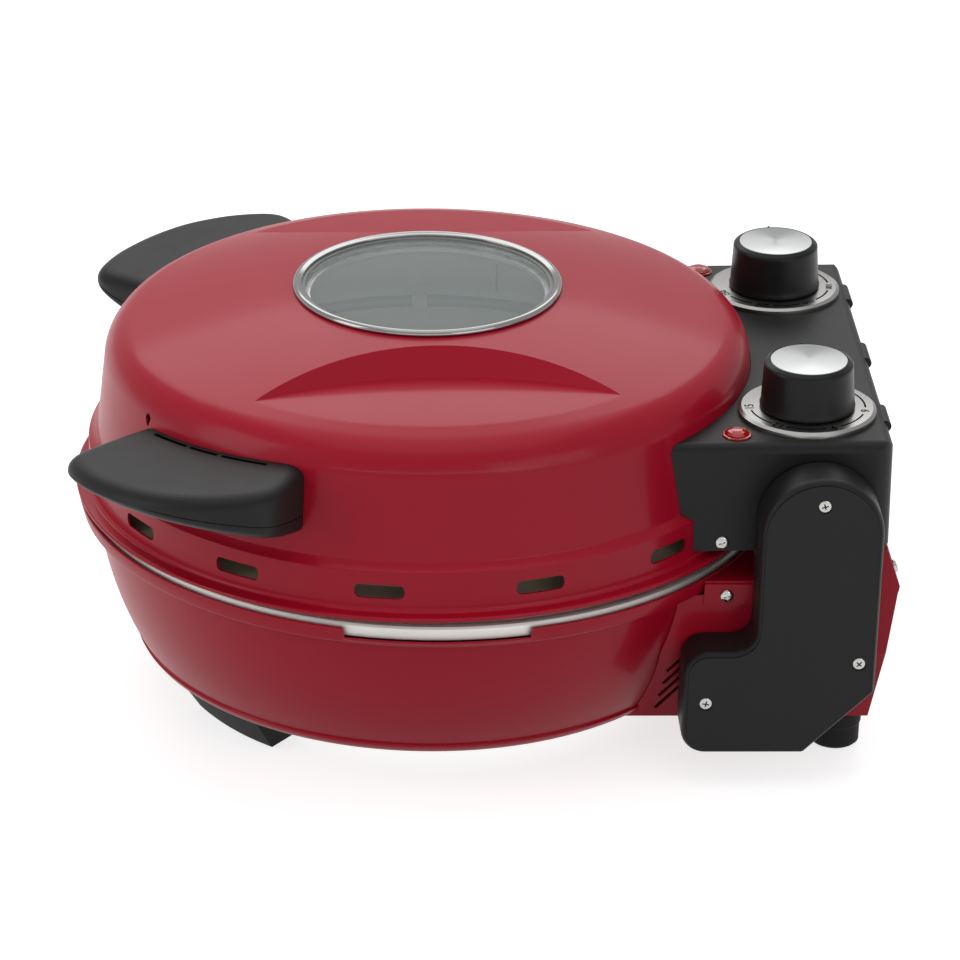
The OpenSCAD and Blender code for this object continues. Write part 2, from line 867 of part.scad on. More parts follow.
// Skirt and lip of the lid, as one closed outline
skirt_outline = [
    [skirt_r - sheet, ledge_z - ledge_h - 0.6],
    [skirt_r - sheet, lip_z + lip_t + 0.8],
    [skirt_r + 1.2, lip_z],
    [lip_r - 1, lip_z],
    [lip_r, lip_z + 1],
    [lip_r, lip_z + lip_t - 0.8],
    [lip_r - 0.8, lip_z + lip_t],
    [skirt_r + 2, lip_z + lip_t],
    [skirt_r, lip_z + lip_t + 1.6],
    [skirt_r, ledge_z - ledge_h],
    [drum_r + 0.6, ledge_z],
    [drum_r - sheet, ledge_z],
    [drum_r - sheet, ledge_z - sheet]
];

module lid_shell() {
    color("firebrick")
        at_lid()
            difference() {
                union() {
                    difference() {
                        revolve(concat(lid_side(0, window_r), [[window_r, ledge_z]]));
                        scoops(0);
                    }
                    revolve(skirt_outline);
                }
                difference() {
                    revolve(concat(
                        [[drum_r - sheet, ledge_z - over]],
                        lid_side(sheet, window_r - 2),
                        [[window_r - 2, ledge_z - over]]));
                    scoops(sheet);
                }
                for (s = [-1, 1])
                    for (i = [0 : vents - 1])
                        rotate([0, 0, -90 + s * (vent_first + i * vent_pitch)])
                            translate([skirt_r, 0, vent_z])
                                rotate([90, 0, 90])
                                    linear_extrude(12, center = true) {
                                        square([vent_l - vent_h, vent_h], center = true);
                                        translate([(vent_l - vent_h) / 2, 0]) circle(d = vent_h, $fn = 32);
                                        translate([-(vent_l - vent_h) / 2, 0]) circle(d = vent_h, $fn = 32);
                                    }
                for (s = [-1, 1])
                    rod_y(s * leg_x, liner_r, drum_r + 10, top_heat_z, tube_r + 1);
            }
}

module lid_liner() {
    color("lightgray")
        at_lid()
            difference() {
                revolve([
                    [liner_r - liner_t, liner_low], [skirt_r - sheet - seat_gap, liner_low],
                    [skirt_r - sheet - seat_gap, liner_low + liner_t], [liner_r, liner_low + liner_t],
                    [liner_r, liner_top], [throat_in_r, throat_low],
                    [throat_r + liner_t, throat_top], [throat_r, throat_top],
                    [throat_in_r - liner_t, throat_low - liner_t], [liner_r - liner_t, liner_top - liner_t]
                ]);
                for (s = [-1, 1])
                    rod_y(s * leg_x, top_ring_r, liner_r + 10, top_heat_z, tube_r + leg_gap);
            }
}

// Top of the liner's throat, just below the crown
throat_top = crown_c[1] + sqrt(pow(crown_r - sheet, 2) - pow(throat_r + liner_t, 2)) - seat_gap;

module liner_rivets() {
    color("silver")
        at_lid()
            for (z = [liner_low + 38, liner_low + 58])
                rotate([0, 0, 165])
                    translate([liner_r - liner_t - 1.1, 0, z])
                        rotate([0, 90, 0]) cylinder(r = 2.2, h = 1, $fn = 24);
}

module upper_heater() {
    color("dimgray") at_lid() heater(top_ring_r, top_heat_z, drum_r + 3);
}

module upper_heater_clips() {
    color("lightgray")
        at_lid()
            for (i = [0 : clips - 1])
                rotate([0, 0, -90 + i * 360 / (clips + 1) - (clips - 1) * 180 / (clips + 1)])
                    difference() {
                        translate([top_ring_r - clip_t / 2, -clip_w / 2, top_heat_z - clip_t / 2])
                            cube([liner_r - liner_t - 0.2 - top_ring_r + clip_t / 2, clip_w, clip_t]);
                        translate([top_ring_r, -clip_w, top_heat_z])
                            rotate([-90, 0, 0])
                                cylinder(r = tube_r + leg_gap, h = 2 * clip_w, $fn = 24);
                    }
}

// Window

module window_ring() {
    r_out = window_r + ring_lap;
    r_in = window_r - seat_gap - ring_wall;
    color("silver")
        at_lid()
            revolve(concat(
                [[r_in, glass_low], [window_r - seat_gap, glass_low]],
                [[window_r - seat_gap, crown_at_hole + 0.15], [r_out, crown_at_lap + seat_gap]],
                turn_points([r_out - ring_h * 0.7, crown_at_lap + ring_h * 0.3], ring_h * 0.7, 0, 110, 7),
                [[r_in + 0.3, crown_at_lap + ring_h * 0.5]]));
}

module window_gasket() {
    color("#202020")
        at_lid() ring(glass_r - gasket_w, glass_r + 0.05, glass_top, glass_top + gasket_h);
}

module window_glass() {
    color("lightcyan", 0.4)
        at_lid() ring(0, glass_r, glass_low, glass_top);
}

module window_clamp() {
    color("gray")
        at_lid() ring(glass_r - 4, window_r + 1, glass_low - clamp_t, glass_low);
}

// Handles

// Plan of a handle about its own middle, its front end the longer:
// each corner is a distance in from the handle's reach, an angle and a radius
handle_corners = [
    [20, 0.1, 20], [21, 0.22, 20], [12.5, 0.34, 9], [handle_out + 12, 0.46, 4],
    [handle_out + 12, -0.41, 4], [24.5, -0.39, 12], [24, -0.27, 20], [21.5, -0.1, 20]
];
module handle_plan(inset) {
    hull()
        for (c = handle_corners)
            rotate([0, 0, -c[1] * handle_span])
                translate([drum_r + handle_out - c[0], 0])
                    circle(r = c[2] - inset, $fn = 48);
}

// Space that the drum fills, grown by extra, with its lean
module drum_space(extra) {
    revolve(concat(
        [[0, lip_z - extra], [lip_r + extra, lip_z - extra], [lip_r + extra, lip_z + lip_t + extra]],
        [[skirt_r + 2, lip_z + lip_t + extra], [skirt_r + extra, lip_z + lip_t + 1.6 + extra]],
        [[skirt_r + extra, ledge_z - ledge_h]],
        [[drum_r + 0.6 + extra, ledge_z]],
        [for (p = lid_side(0, 1)) p + [extra, 0]]));
}

// All that lies above a handle's sloping top, lowered by inset
module above_handle(inset) {
    translate([drum_r, 0, handle_z1 - inset])
        rotate([handle_nod, handle_fall, 0])
            translate([-far / 2, -far / 2, 0]) cube(far);
}

// All that lies under a handle's sloping underside, raised by inset
module under_handle(inset) {
    translate([drum_r, 0, handle_z0 + inset])
        rotate([0, -handle_rise, 0])
            translate([-far / 2, -far / 2, -far]) cube(far);
}

// Handle's body, shrunk by inset at its sides
module handle_block(inset) {
    translate([0, 0, handle_z0 - over])
        linear_extrude(handle_t + 2 * over) handle_plan(inset);
}

module handle_grip() {
    difference() {
        handle_block(0);
        drum_space(seat_gap);
        above_handle(0);
        under_handle(0);
        difference() {
            handle_block(grip_t);
            above_handle(grip_t);
        }
    }
}

module handle_grip_right() {
    color("#202020") at_lid() rotate([0, 0, -handle_turn - handle_skew]) handle_grip();
}

module handle_grip_left() {
    color("#202020") at_lid() on_left() rotate([0, 0, -handle_turn + handle_skew]) handle_grip();
}

// Lower cover, set into the grip's underside, with a boss against the drum
module handle_base() {
    difference() {
        handle_block(grip_t + seat_gap);
        drum_space(seat_gap);
        above_handle(grip_t + seat_gap);
        under_handle(0);
        difference() {
            translate([drum_r + grip_t + 4, -far / 2, 0]) cube(far);
            under_handle(grip_t);
        }
    }
}

module handle_base_right() {
    color("#303030") at_lid() rotate([0, 0, -handle_turn - handle_skew]) handle_base();
}

module handle_base_left() {
    color("#303030") at_lid() on_left() rotate([0, 0, -handle_turn + handle_skew]) handle_base();
}

// Control box

// Rounded block of the box, shrunk by inset
module box_block(inset) {
    e = box_edge - min(inset, box_edge - 1);
    intersection() {
        translate([0, box_back - inset, 0])
            rotate([90, 0, 0])
                linear_extrude(box_back - box_front)
                    square_round(box_x - inset, box_z0, box_z1 - inset, e);
        translate([-box_x, 0, 0])
            rotate([90, 0, 90])
                linear_extrude(2 * box_x)
                    difference() {
                        side_outline(inset, e);
                        translate([box_front - over, box_z0 - over])
                            square([step_y - box_front + over, step_up + over]);
                    }
        linear_extrude(far) plan_outline(inset, e + 4);
    }
}

// Box seen from the front, with round top corners
module square_round(x, z0, z1, e) {
    translate([-x, z0]) square([2 * x, z1 - z0 - e]);
    translate([-x + e, z0]) square([2 * x - 2 * e, z1 - z0]);
    for (s = [-1, 1]) translate([s * (x - e), z1 - e]) circle(r = e, $fn = 48);
}

// Box seen from the side, with a round top corner at the back
module side_outline(inset, e) {
    y1 = box_back - inset;
    z1 = box_z1 - inset;
    translate([box_front, box_z0]) square([y1 - box_front - e, z1 - box_z0]);
    translate([box_front, box_z0]) square([y1 - box_front, z1 - box_z0 - e]);
    translate([y1 - e, z1 - e]) circle(r = e, $fn = 48);
}

// Box seen from above, with round corners at the back
module plan_outline(inset, e) {
    x = box_x - inset;
    y1 = box_back - inset;
    translate([-x, box_front]) square([2 * x, y1 - box_front - e]);
    translate([-x + e, box_front]) square([2 * x - 2 * e, y1 - box_front]);
    for (s = [-1, 1]) translate([s * (x - e), y1 - e]) circle(r = e, $fn = 48);
}

module control_housing() {
    color("#262626")
        at_lid() {
            difference() {
                box_block(0);
                for (d = [0, over]) translate([0, 0, -d]) box_block(box_t);
                drum_space(seat_gap);
                for (s = [-1, 1]) {
                    translate([s * knob_x, knob_y, box_z1 - 10]) cylinder(r = shaft_r + 4, h = 20);
                    translate([s * lamp_x, lamp_y, box_z1 - 10]) cylinder(r = lamp_r - 0.8, h = 20);
                }
                rod_x(-box_x - over, box_x + over, hinge_y, hinge_z, pin_r + run_gap);
            }
            for (x = [-knob_x, 0, knob_x])
                translate([x - lug_w / 2, box_back - over, box_z1 - 2 - lug_r])
                    rotate([0, 90, 0]) cylinder(r = lug_r + over, h = lug_w, $fn = 32);
        }
}

lamp_x = knob_x + 27;
lamp_y = knob_y - 37;

module control_floor() {
    color("#303030")
        at_lid()
            difference() {
                intersection() {
                    translate([0, 0, -over]) box_block(box_t + seat_gap);
                    translate([-far / 2, step_y + box_t + seat_gap, box_z0]) cube([far, far, floor_t]);
                }
                drum_space(seat_gap * 2);
            }
}

module control_screws() {
    color("silver")
        at_lid() {
            for (s = [0, 1])
                mirror([s, 0, 0])
                    translate([box_x, step_y + 16.5, box_z0 + 4.5])
                        rotate([0, 90, 0]) cylinder(r = head_r, h = head_h * 0.2, $fn = 32);
            for (s = [-1, 1])
                translate([s * (box_x - 22.5), box_back, box_z0 + 16])
                    rotate([-90, 0, 0]) cylinder(r = head_r, h = head_h, $fn = 32);
        }
}

// Steel plate inside the box with the bush that turns on the hinge pin
module pivot_bracket() {
    difference() {
        union() {
            translate([bracket_x - 3, hinge_y - 22, box_z0 + floor_t + seat_gap]) cube([3, 44, 34]);
            rod_x(bracket_x - 9, bracket_x - 2, hinge_y, hinge_z, bush_r);
        }
        rod_x(bracket_x - 20, bracket_x + 20, hinge_y, hinge_z, pin_r + turn_gap);
    }
}

module pivot_bracket_right() {
    color("gray") at_lid() pivot_bracket();
}

module pivot_bracket_left() {
    color("gray") at_lid() on_left() pivot_bracket();
}

module lamp_lenses() {
    color("red")
        at_lid()
            for (s = [-1, 1])
                translate([s * lamp_x, lamp_y, box_z1 + 0.05])
                    rotate_extrude()
                        polygon([[0, 0], [lamp_r, 0], [lamp_r, 0.8], [lamp_r * 0.7, 2.2], [0, 2.8]]);
}

module lamp_holders() {
    color("white")
        at_lid()
            for (s = [-1, 1])
                translate([s * lamp_x, lamp_y, box_z1 - 16])
                    cylinder(r = lamp_r - 1.1, h = 16 - seat_gap / 2, $fn = 48);
}

module dial() {
    translate([knob_x, knob_y, box_z1])
        difference() {
            rotate_extrude()
                polygon([[0, 0], [dial_r, 0], [dial_r, dial_t * 0.6], [dial_r - 0.6, dial_t], [0, dial_t]]);
            translate([0, 0, -over]) cylinder(r = shaft_r + 0.6, h = 10);
        }
}

module timer_dial() {
    color("silver") at_lid() dial();
}

module thermostat_dial() {
    color("silver") at_lid() on_left() dial();
}

// Switch body under a knob, screwed to the underside of the box's top
module switch_unit(r, h) {
    translate([knob_x, knob_y, box_z1 - box_t - seat_gap - h])
        difference() {
            union() {
                cylinder(r = r, h = h);
                translate([-r - 8, -6, h - 2]) cube([2 * r + 16, 12, 2]);
            }
            translate([0, 0, h - 14]) cylinder(r = shaft_r + turn_gap, h = 20);
        }
}

module timer_unit() {
    color("gainsboro") at_lid() switch_unit(20, unit_h);
}

module thermostat_unit() {
    color("gainsboro") at_lid() on_left() switch_unit(15, unit_h);
}

module shaft() {
    z0 = box_z1 - box_t - seat_gap - 13;
    translate([knob_x, knob_y, z0]) cylinder(r = shaft_r, h = knob_z + knob_h - 6 - z0);
}

module timer_shaft() {
    color("silver") at_lid() shaft();
}

module thermostat_shaft() {
    color("silver") at_lid() on_left() shaft();
}

// Tapered knob with a recess for its cap and a small pointer at its top edge, turned to point_a
module knob(point_a) {
    translate([knob_x, knob_y, knob_z]) {
        difference() {
            rotate_extrude()
                polygon([
                    [0, 0], [knob_r, 0], [knob_r, 1], [knob_r - 1.4, knob_h - 4],
                    [knob_r - 2, knob_h - 1.6], [cap_r + 0.4, knob_h], [0, knob_h]
                ]);
            translate([0, 0, knob_h - cap_t]) cylinder(r = cap_r + 0.1, h = 5);
            translate([0, 0, -over]) cylinder(r = shaft_r + 0.02, h = knob_h - 5.95 + over);
        }
        rotate([0, 0, point_a])
            translate([knob_r - 3, -pointer_w / 2, knob_h - 7]) cube([1.9, pointer_w, 6.4]);
    }
}

module cap() {
    translate([knob_x, knob_y, knob_z + knob_h - cap_t])
        cylinder(r = cap_r, h = cap_t + 0.2);
}

module timer_knob() {
    color("#202020") at_lid() knob(point_off);
}

module timer_cap() {
    color("silver") at_lid() cap();
}

module thermostat_knob() {
    color("#202020") at_lid() on_left() knob(180 - point_off);
}

module thermostat_cap() {
    color("silver") at_lid() on_left() cap();
}

base_shell();
base_pan();
baking_stone();
lower_heater();
lower_heater_clips();
service_plate();
service_screws();
front_foot_right();
front_foot_left();
rear_foot_right();
rear_foot_left();
rear_housing();
rear_cover();
rear_cover_screws();
cord_bush();
terminal_block();
side_tab_right();
side_tab_left();
side_tab_screws();
arm_housing_right();
arm_housing_left();
arm_frame_right();
arm_frame_left();
arm_cover_right();
arm_cover_left();
arm_cover_screws();
hinge_pin_right();
hinge_pin_left();
lid_shell();
lid_liner();
liner_rivets();
upper_heater();
upper_heater_clips();
window_ring();
window_gasket();
window_glass();
window_clamp();
handle_grip_right();
handle_grip_left();
handle_base_right();
handle_base_left();
control_housing();
control_floor();
control_screws();
pivot_bracket_right();
pivot_bracket_left();
lamp_lenses();
lamp_holders();
timer_dial();
thermostat_dial();
timer_unit();
thermostat_unit();
timer_shaft();
timer_knob();
timer_cap();
thermostat_shaft();
thermostat_knob();
thermostat_cap();
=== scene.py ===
import json
from math import atan2, cos, degrees, hypot, pi, radians, sin, sqrt, tan

import bmesh
import bpy
from mathutils import Matrix, Vector


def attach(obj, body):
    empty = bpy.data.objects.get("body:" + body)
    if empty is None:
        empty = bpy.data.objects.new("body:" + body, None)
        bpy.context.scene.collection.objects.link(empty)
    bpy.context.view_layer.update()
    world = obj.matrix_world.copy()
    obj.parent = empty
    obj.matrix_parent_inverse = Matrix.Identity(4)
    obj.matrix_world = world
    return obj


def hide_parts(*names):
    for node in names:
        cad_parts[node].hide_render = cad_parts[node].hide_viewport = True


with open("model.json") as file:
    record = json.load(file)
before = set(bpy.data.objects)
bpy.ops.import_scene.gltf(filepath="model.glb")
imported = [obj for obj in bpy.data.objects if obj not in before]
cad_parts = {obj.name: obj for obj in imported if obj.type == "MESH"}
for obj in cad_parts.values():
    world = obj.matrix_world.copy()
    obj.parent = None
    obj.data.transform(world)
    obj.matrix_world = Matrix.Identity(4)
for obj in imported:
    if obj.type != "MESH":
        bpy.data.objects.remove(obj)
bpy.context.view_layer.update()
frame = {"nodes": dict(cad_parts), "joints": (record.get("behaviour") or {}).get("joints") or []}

nodes = frame["nodes"]

# Base bowl. One pressing in thin steel sheet under satin red enamel: an elliptic side, a step and
# an upright rim that is cut lower at each side. Its open floor is closed by the service plate.
hinge = frame["joints"][0]["pos_m"]
# Millimetres from the middle of the bowl back to the hinge.
hinge_back = 185.7
oven_y = hinge[1] - hinge_back / 1000
OVEN = Matrix.Translation((0, oven_y, 0)) @ Matrix.Scale(0.001, 4)
LEFT = Matrix.Scale(-1, 4, (1, 0, 0))


class Shade:
    """One output in a material's node tree, so that a pattern is written as arithmetic."""

    def __init__(self, tree, socket=None):
        self.tree = tree
        self.socket = socket

    def make(self, kind, put=None, out=0, **settings):
        """Adds a node, sets its options and inputs, and returns one of its outputs."""
        made = self.tree.nodes.new(kind)
        for name, value in settings.items():
            setattr(made, name, value)
        for name, value in (put or {}).items():
            if isinstance(value, Shade):
                self.tree.links.new(value.socket, made.inputs[name])
            else:
                made.inputs[name].default_value = value
        return Shade(self.tree, made.outputs[out])

    def maths(self, operation, first, second=0.0):
        return self.make("ShaderNodeMath", {0: first, 1: second}, operation=operation)

    def __add__(self, other):
        return self.maths("ADD", self, other)

    def __sub__(self, other):
        return self.maths("SUBTRACT", self, other)

    def __rsub__(self, other):
        return self.maths("SUBTRACT", other, self)

    def __mul__(self, other):
        return self.maths("MULTIPLY", self, other)

    def __gt__(self, other):
        return self.maths("GREATER_THAN", self, other)

    def place(self):
        """Object coordinates in metres, split into X, Y and Z."""
        point = self.make("ShaderNodeTexCoord", out="Object")
        return [self.make("ShaderNodeSeparateXYZ", {0: point}, out=i) for i in range(3)]

    def noise(self, scale, detail=2.0, stretch=(1, 1, 1)):
        point = self.make("ShaderNodeTexCoord", out="Object")
        point = self.make("ShaderNodeMapping", {"Vector": point, "Scale": stretch})
        return self.make("ShaderNodeTexNoise", {"Vector": point, "Scale": scale, "Detail": detail})

    def mix(self, factor, first, second):
        """Colour that goes from first to second as factor goes from 0 to 1."""
        put = {"Factor": factor, "A": first, "B": second}
        return self.make("ShaderNodeMix", put, out="Result", data_type="RGBA")

    def bump(self, height, depth, strength=1.0):
        put = {"Height": height, "Distance": depth, "Strength": strength}
        return self.make("ShaderNodeBump", put)


def material(name, color, rough, metal=0.0, **sockets):
    """Material with fixed values; returns it, its node tree as a Shade, and its shader node."""
    made = bpy.data.materials.new(name)
    made.use_nodes = True
    shader = made.node_tree.nodes["Principled BSDF"]
    shader.inputs["Base Color"].default_value = (*color, 1)
    shader.inputs["Roughness"].default_value = rough
    shader.inputs["Metallic"].default_value = metal
    for key, value in sockets.items():
        shader.inputs[key.replace("_", " ")].default_value = value
    return made, Shade(made.node_tree), shader


def feed(shade, shader, name, value):
    shade.tree.links.new(value.socket, shader.inputs[name])


def finish(kind, *names):
    """Gives its material to each CAD node that is named."""
    for name in names:
        mesh = nodes[name].data
        mesh.materials.clear()
        mesh.materials.append(kind)


def arc(cx, cz, r, a0, a1, n):
    """Points on a circle from angle a0 to a1 in degrees."""
    angles = [radians(a0 + (a1 - a0) * i / n) for i in range(n + 1)]
    return [(cx + r * cos(a), cz + r * sin(a)) for a in angles]


def spaced(points, gap):
    """The same open outline with extra points, so that none lie further apart than gap."""
    out = [points[0]]
    for a, b in zip(points, points[1:]):
        n = max(1, round(hypot(b[0] - a[0], b[1] - a[1]) / gap))
        out += [(a[0] + (b[0] - a[0]) * i / n, a[1] + (b[1] - a[1]) * i / n) for i in range(1, n + 1)]
    return out


def turned(outline, steps, place=Matrix(), bm=None):
    """Spins an outline of (radius, height) points round Z; it is closed, or ends on the axis."""
    bm = bm or bmesh.new()
    old = set(bm.verts)
    line = [bm.verts.new((r, 0, z)) for r, z in outline]
    edges = [bm.edges.new(pair) for pair in zip(line, line[1:])]
    if outline[0][0] > 0:
        edges.append(bm.edges.new((line[-1], line[0])))
    around = {"cent": (0, 0, 0), "axis": (0, 0, 1), "angle": 2 * pi, "steps": steps}
    bmesh.ops.spin(bm, geom=line + edges, use_merge=True, **around)
    bmesh.ops.remove_doubles(bm, verts=[v for v in bm.verts if v not in old], dist=1e-4)
    bmesh.ops.transform(bm, matrix=place, verts=[v for v in bm.verts if v not in old])
    return bm


def piece(name, bm, place, kind, slot, body, *stands_for, smooth=40):
    """Turns a bmesh drawn in millimetres into a piece that moves with a CAD body."""
    bmesh.ops.transform(bm, matrix=place, verts=bm.verts)
    bmesh.ops.recalc_face_normals(bm, faces=bm.faces)
    mesh = bpy.data.meshes.new(name)
    bm.to_mesh(mesh)
    bm.free()
    mesh.materials.append(kind)
    made = bpy.data.objects.new(name, mesh)
    bpy.context.scene.collection.objects.link(made)
    mesh.shade_smooth()
    mesh.set_sharp_from_angle(angle=radians(smooth))
    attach(made, body)
    if stands_for:
        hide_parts(*stands_for)
    return made


# Satin enamel with a very fine orange peel.
glaze = {"Specular_IOR_Level": 0.14, "Coat_Weight": 0.2, "Coat_Roughness": 0.15}
red, s, shader = material("Red enamel", (0.40, 0.003, 0.020), 0.42, **glaze)
feed(s, shader, "Normal", s.bump(s.noise(520, 1.0), 0.00008, 0.12))
feed(s, shader, "Roughness", s.noise(40, 2.0) * 0.06 + 0.38)

# The side is a part of an ellipse, given by its middle and its half-axes.
side_r, side_z, half_wide, half_high = 96.9, 120, 72.9, 130
angles = [radians(a) for a in range(12, 47)]
wall = [(side_r + half_wide * cos(a), side_z - half_high * sin(a)) for a in angles]
wall[0] = (wall[0][0], 93.6)
sheet, opening_r, floor_z = 1.2, 112, 20  # the steel's drawn thickness, and the open floor
corner = arc(140.0, 29.0, 9.0, -22, -90, 7)
outside = spaced([(opening_r, floor_z)] + corner[::-1], 4) + wall[::-1]
step = arc(168.6, 94.2, 0.6, -90, -60, 2) + arc(174.0, 94.9, 1.4, -85, -8, 5)
rim = arc(176.2, 101.2, 0.8, 0, 170, 6) + [(174.1, 96.0), (173.0, 94.9), (167.3, 94.9)]
inside = [(r - sheet, z) for r, z in wall[1:]] + [(r - 1.0, z + sheet) for r, z in corner]
bm = turned(outside + step + rim + inside + [(opening_r, floor_z + sheet)], 288)

# The notch in each side of the rim. Points near its ends are drawn up to them, so that the ends
# stand steep.
notch_half, notch_deep, notch_foot = 44.8, 4.9, 95.5
for v in bm.verts:
    r = hypot(v.co.x, v.co.y)
    aside = abs(v.co.y)
    if v.co.z > 94 and r > 165:
        if 43.0 < aside < 51.0:
            end = notch_half - 0.6 if aside < 47.0 else notch_half + 0.6
            v.co.x = (1 if v.co.x > 0 else -1) * sqrt(r * r - end * end)
            v.co.y = (1 if v.co.y > 0 else -1) * end
        if v.co.z > notch_foot and abs(v.co.y) < notch_half:
            v.co.z -= notch_deep * min(1.0, (v.co.z - notch_foot) / 5.0)
piece("base_bowl", bm, OVEN, red, "red_paint", "base", "base_shell", smooth=50)

# Service plate and feet. The plate is zinc-coated steel with cooling slots, held by four screws under
# the bowl; two curved rubber feet stand under its front and two round ones under the back.
rubber, s, shader = material("Rubber", (0.009, 0.009, 0.009), 0.7, Specular_IOR_Level=0.22)
feed(s, shader, "Normal", s.bump(s.noise(700, 2.0), 0.0001, 0.3))
finish(rubber, "front_foot_right", "front_foot_left", "rear_foot_right", "rear_foot_left")

zinc, s, shader = material("Zinc plate", (0.5, 0.5, 0.49), 0.36, 1.0)
feed(s, shader, "Roughness", s.noise(90, 3.0) * 0.2 + 0.26)
finish(zinc, "service_plate")

# Pan. A bright steel dish whose rolled bead lies in the rim and shows as a band under the lid; it
# carries the lower heater on clips and the fired-clay stone.
steel, s, shader = material("Stainless steel", (0.64, 0.625, 0.60), 0.42, 1.0)
feed(s, shader, "Roughness", s.noise(60, 3.0, (1, 1, 14)) * 0.12 + 0.48)
finish(steel, "base_pan", "lower_heater_clips")

sheath_and_lap_shadow, s, shader = material("Heater sheath", (0.16, 0.145, 0.13), 0.42, 0.9)
scale = s.mix(s.noise(60, 4.0), (0.11, 0.1, 0.095, 1), (0.24, 0.2, 0.165, 1))
feed(s, shader, "Base Color", scale)
finish(sheath_and_lap_shadow, "lower_heater")

# Warm beige clay with coarse dark and light grains and a rough skin.
stone, s, shader = material("Fired clay", (0.62, 0.5, 0.36), 0.9)
grain = s.noise(900, 4.0)
body = s.mix(s.noise(28, 3.0), (0.55, 0.44, 0.31, 1), (0.68, 0.56, 0.41, 1))
feed(s, shader, "Base Color", s.mix((grain > 0.62) * 0.45, body, (0.3, 0.23, 0.16, 1)))
feed(s, shader, "Normal", s.bump(grain, 0.0004, 0.5))
finish(stone, "baking_stone")

# Back of the base. An enamelled steel housing with a lid of its own, two side tabs, a rubber bush
# where the mains lead enters, and the terminal block of white plastic inside.
finish(red, "rear_housing", "rear_cover", "side_tab_right", "side_tab_left")
finish(rubber, "cord_bush")

white, s, shader = material("White plastic", (0.7, 0.68, 0.63), 0.5)
feed(s, shader, "Roughness", s.noise(80, 2.0) * 0.1 + 0.45)
finish(white, "terminal_block")

# Screws of the base. Nickel-plated pan heads with a cross recess, drawn about their own axis and
# set into the tabs, the back's lid and the service plate.
nickel, s, shader = material("Nickel plate", (0.48, 0.475, 0.46), 0.2, 1.0)
feed(s, shader, "Roughness", s.noise(400, 2.0) * 0.12 + 0.14)


def stacked(loops, bm=None):
    """Solid drawn up through closed loops with equal counts of points, by extruding the first."""
    bm = bm or bmesh.new()
    order = bm.verts.layers.int.get("order") or bm.verts.layers.int.new("order")
    first = [bm.verts.new(p) for p in loops[0]]
    for i, v in enumerate(first):
        v[order] = i
    face = bm.faces.new(first)
    for loop in loops[1:]:
        grown = bmesh.ops.extrude_face_region(bm, geom=[face])["geom"]
        face = next(g for g in grown if isinstance(g, bmesh.types.BMFace))
        for v in face.verts:
            v.co = loop[v[order]]
    return bm


def carve(made, cutter, place, smooth=45):
    """Cuts the solids held in the bmesh cutter out of a finished piece."""
    bmesh.ops.transform(cutter, matrix=place, verts=cutter.verts)
    bmesh.ops.recalc_face_normals(cutter, faces=cutter.faces)
    mesh = bpy.data.meshes.new("Cutter")
    cutter.to_mesh(mesh)
    cutter.free()
    tool = bpy.data.objects.new("Cutter", mesh)
    bpy.context.scene.collection.objects.link(tool)
    cut = made.modifiers.new("Cut", "BOOLEAN")
    cut.object = tool
    cut.operation = "DIFFERENCE"
    cut.solver = "EXACT"
    result = bpy.data.meshes.new_from_object(made.evaluated_get(bpy.context.evaluated_depsgraph_get()))
    made.modifiers.clear()
    made.data = result
    result.shade_smooth()
    result.set_sharp_from_angle(angle=radians(smooth))
    bpy.data.objects.remove(tool)


def screws(name, place, body, seats, high, shank=0.2):
    """Replaces a CAD node of screws: each seat is where a head stands, looking out along its Z."""
    heads = bmesh.new()
    crosses = bmesh.new()
    head_r, shank_r, arm, half = 3.3, 1.45, 2.05, 0.42
    angles = [radians(a) for a in range(0, 90, 9)]
    outline = [(0, -shank), (shank_r, -shank), (shank_r, 0.02), (head_r, 0.02)]
    outline += [(head_r * cos(a), high * (0.35 + 0.65 * sin(a))) for a in angles] + [(0, high)]
    for i, seat in enumerate(seats):
        turned(outline, 40, seat, heads)
        spin = seat @ Matrix.Rotation(radians(17 + 31 * i), 4, "Z")
        loops = []
        for z, grow in ((high - 0.9, 0.55), (high + 0.4, 1.0)):
            a, h = arm * grow, half * grow
            plus = [(a, -h), (a, h), (h, h)]
            for _ in range(3):
                plus += [(-y, x) for x, y in plus[-3:]]
            loops.append([spin @ Vector((x, y, z)) for x, y in plus])
        stacked(loops, crosses)
    made = piece(name + "_heads", heads, place, nickel, "screw_steel", body, name, smooth=35)
    carve(made, crosses, place, 35)


def facing(x, y, z, direction):
    """Place on a surface at x, y, z whose Z axis points along direction."""
    return Matrix.Translation((x, y, z)) @ Vector(direction).to_track_quat("Z", "Y").to_matrix().to_4x4()


screw_r = 117
quarters = [Vector((cos(a), sin(a))) * screw_r for a in (0, pi / 2, pi, 3 * pi / 2)]
under = [facing(p.x, p.y, 19.1, (0, 0, -1)) for p in quarters]
screws("service_screws", OVEN, "base", under, 1.9)
tabs = [facing(side * 119.2, 143.2, 93.8, (side, 0, 0)) for side in (1, -1)]
screws("side_tab_screws", OVEN, "base", tabs, 1.9)
cover_lean = radians(20.2)
out_of_cover = (0, cos(cover_lean), sin(cover_lean))
cover = [facing(x, 226.5, 103.0, out_of_cover) for x in (-105.1, 0, 105.1)]
screws("rear_cover_screws", OVEN, "base", cover, 1.9)

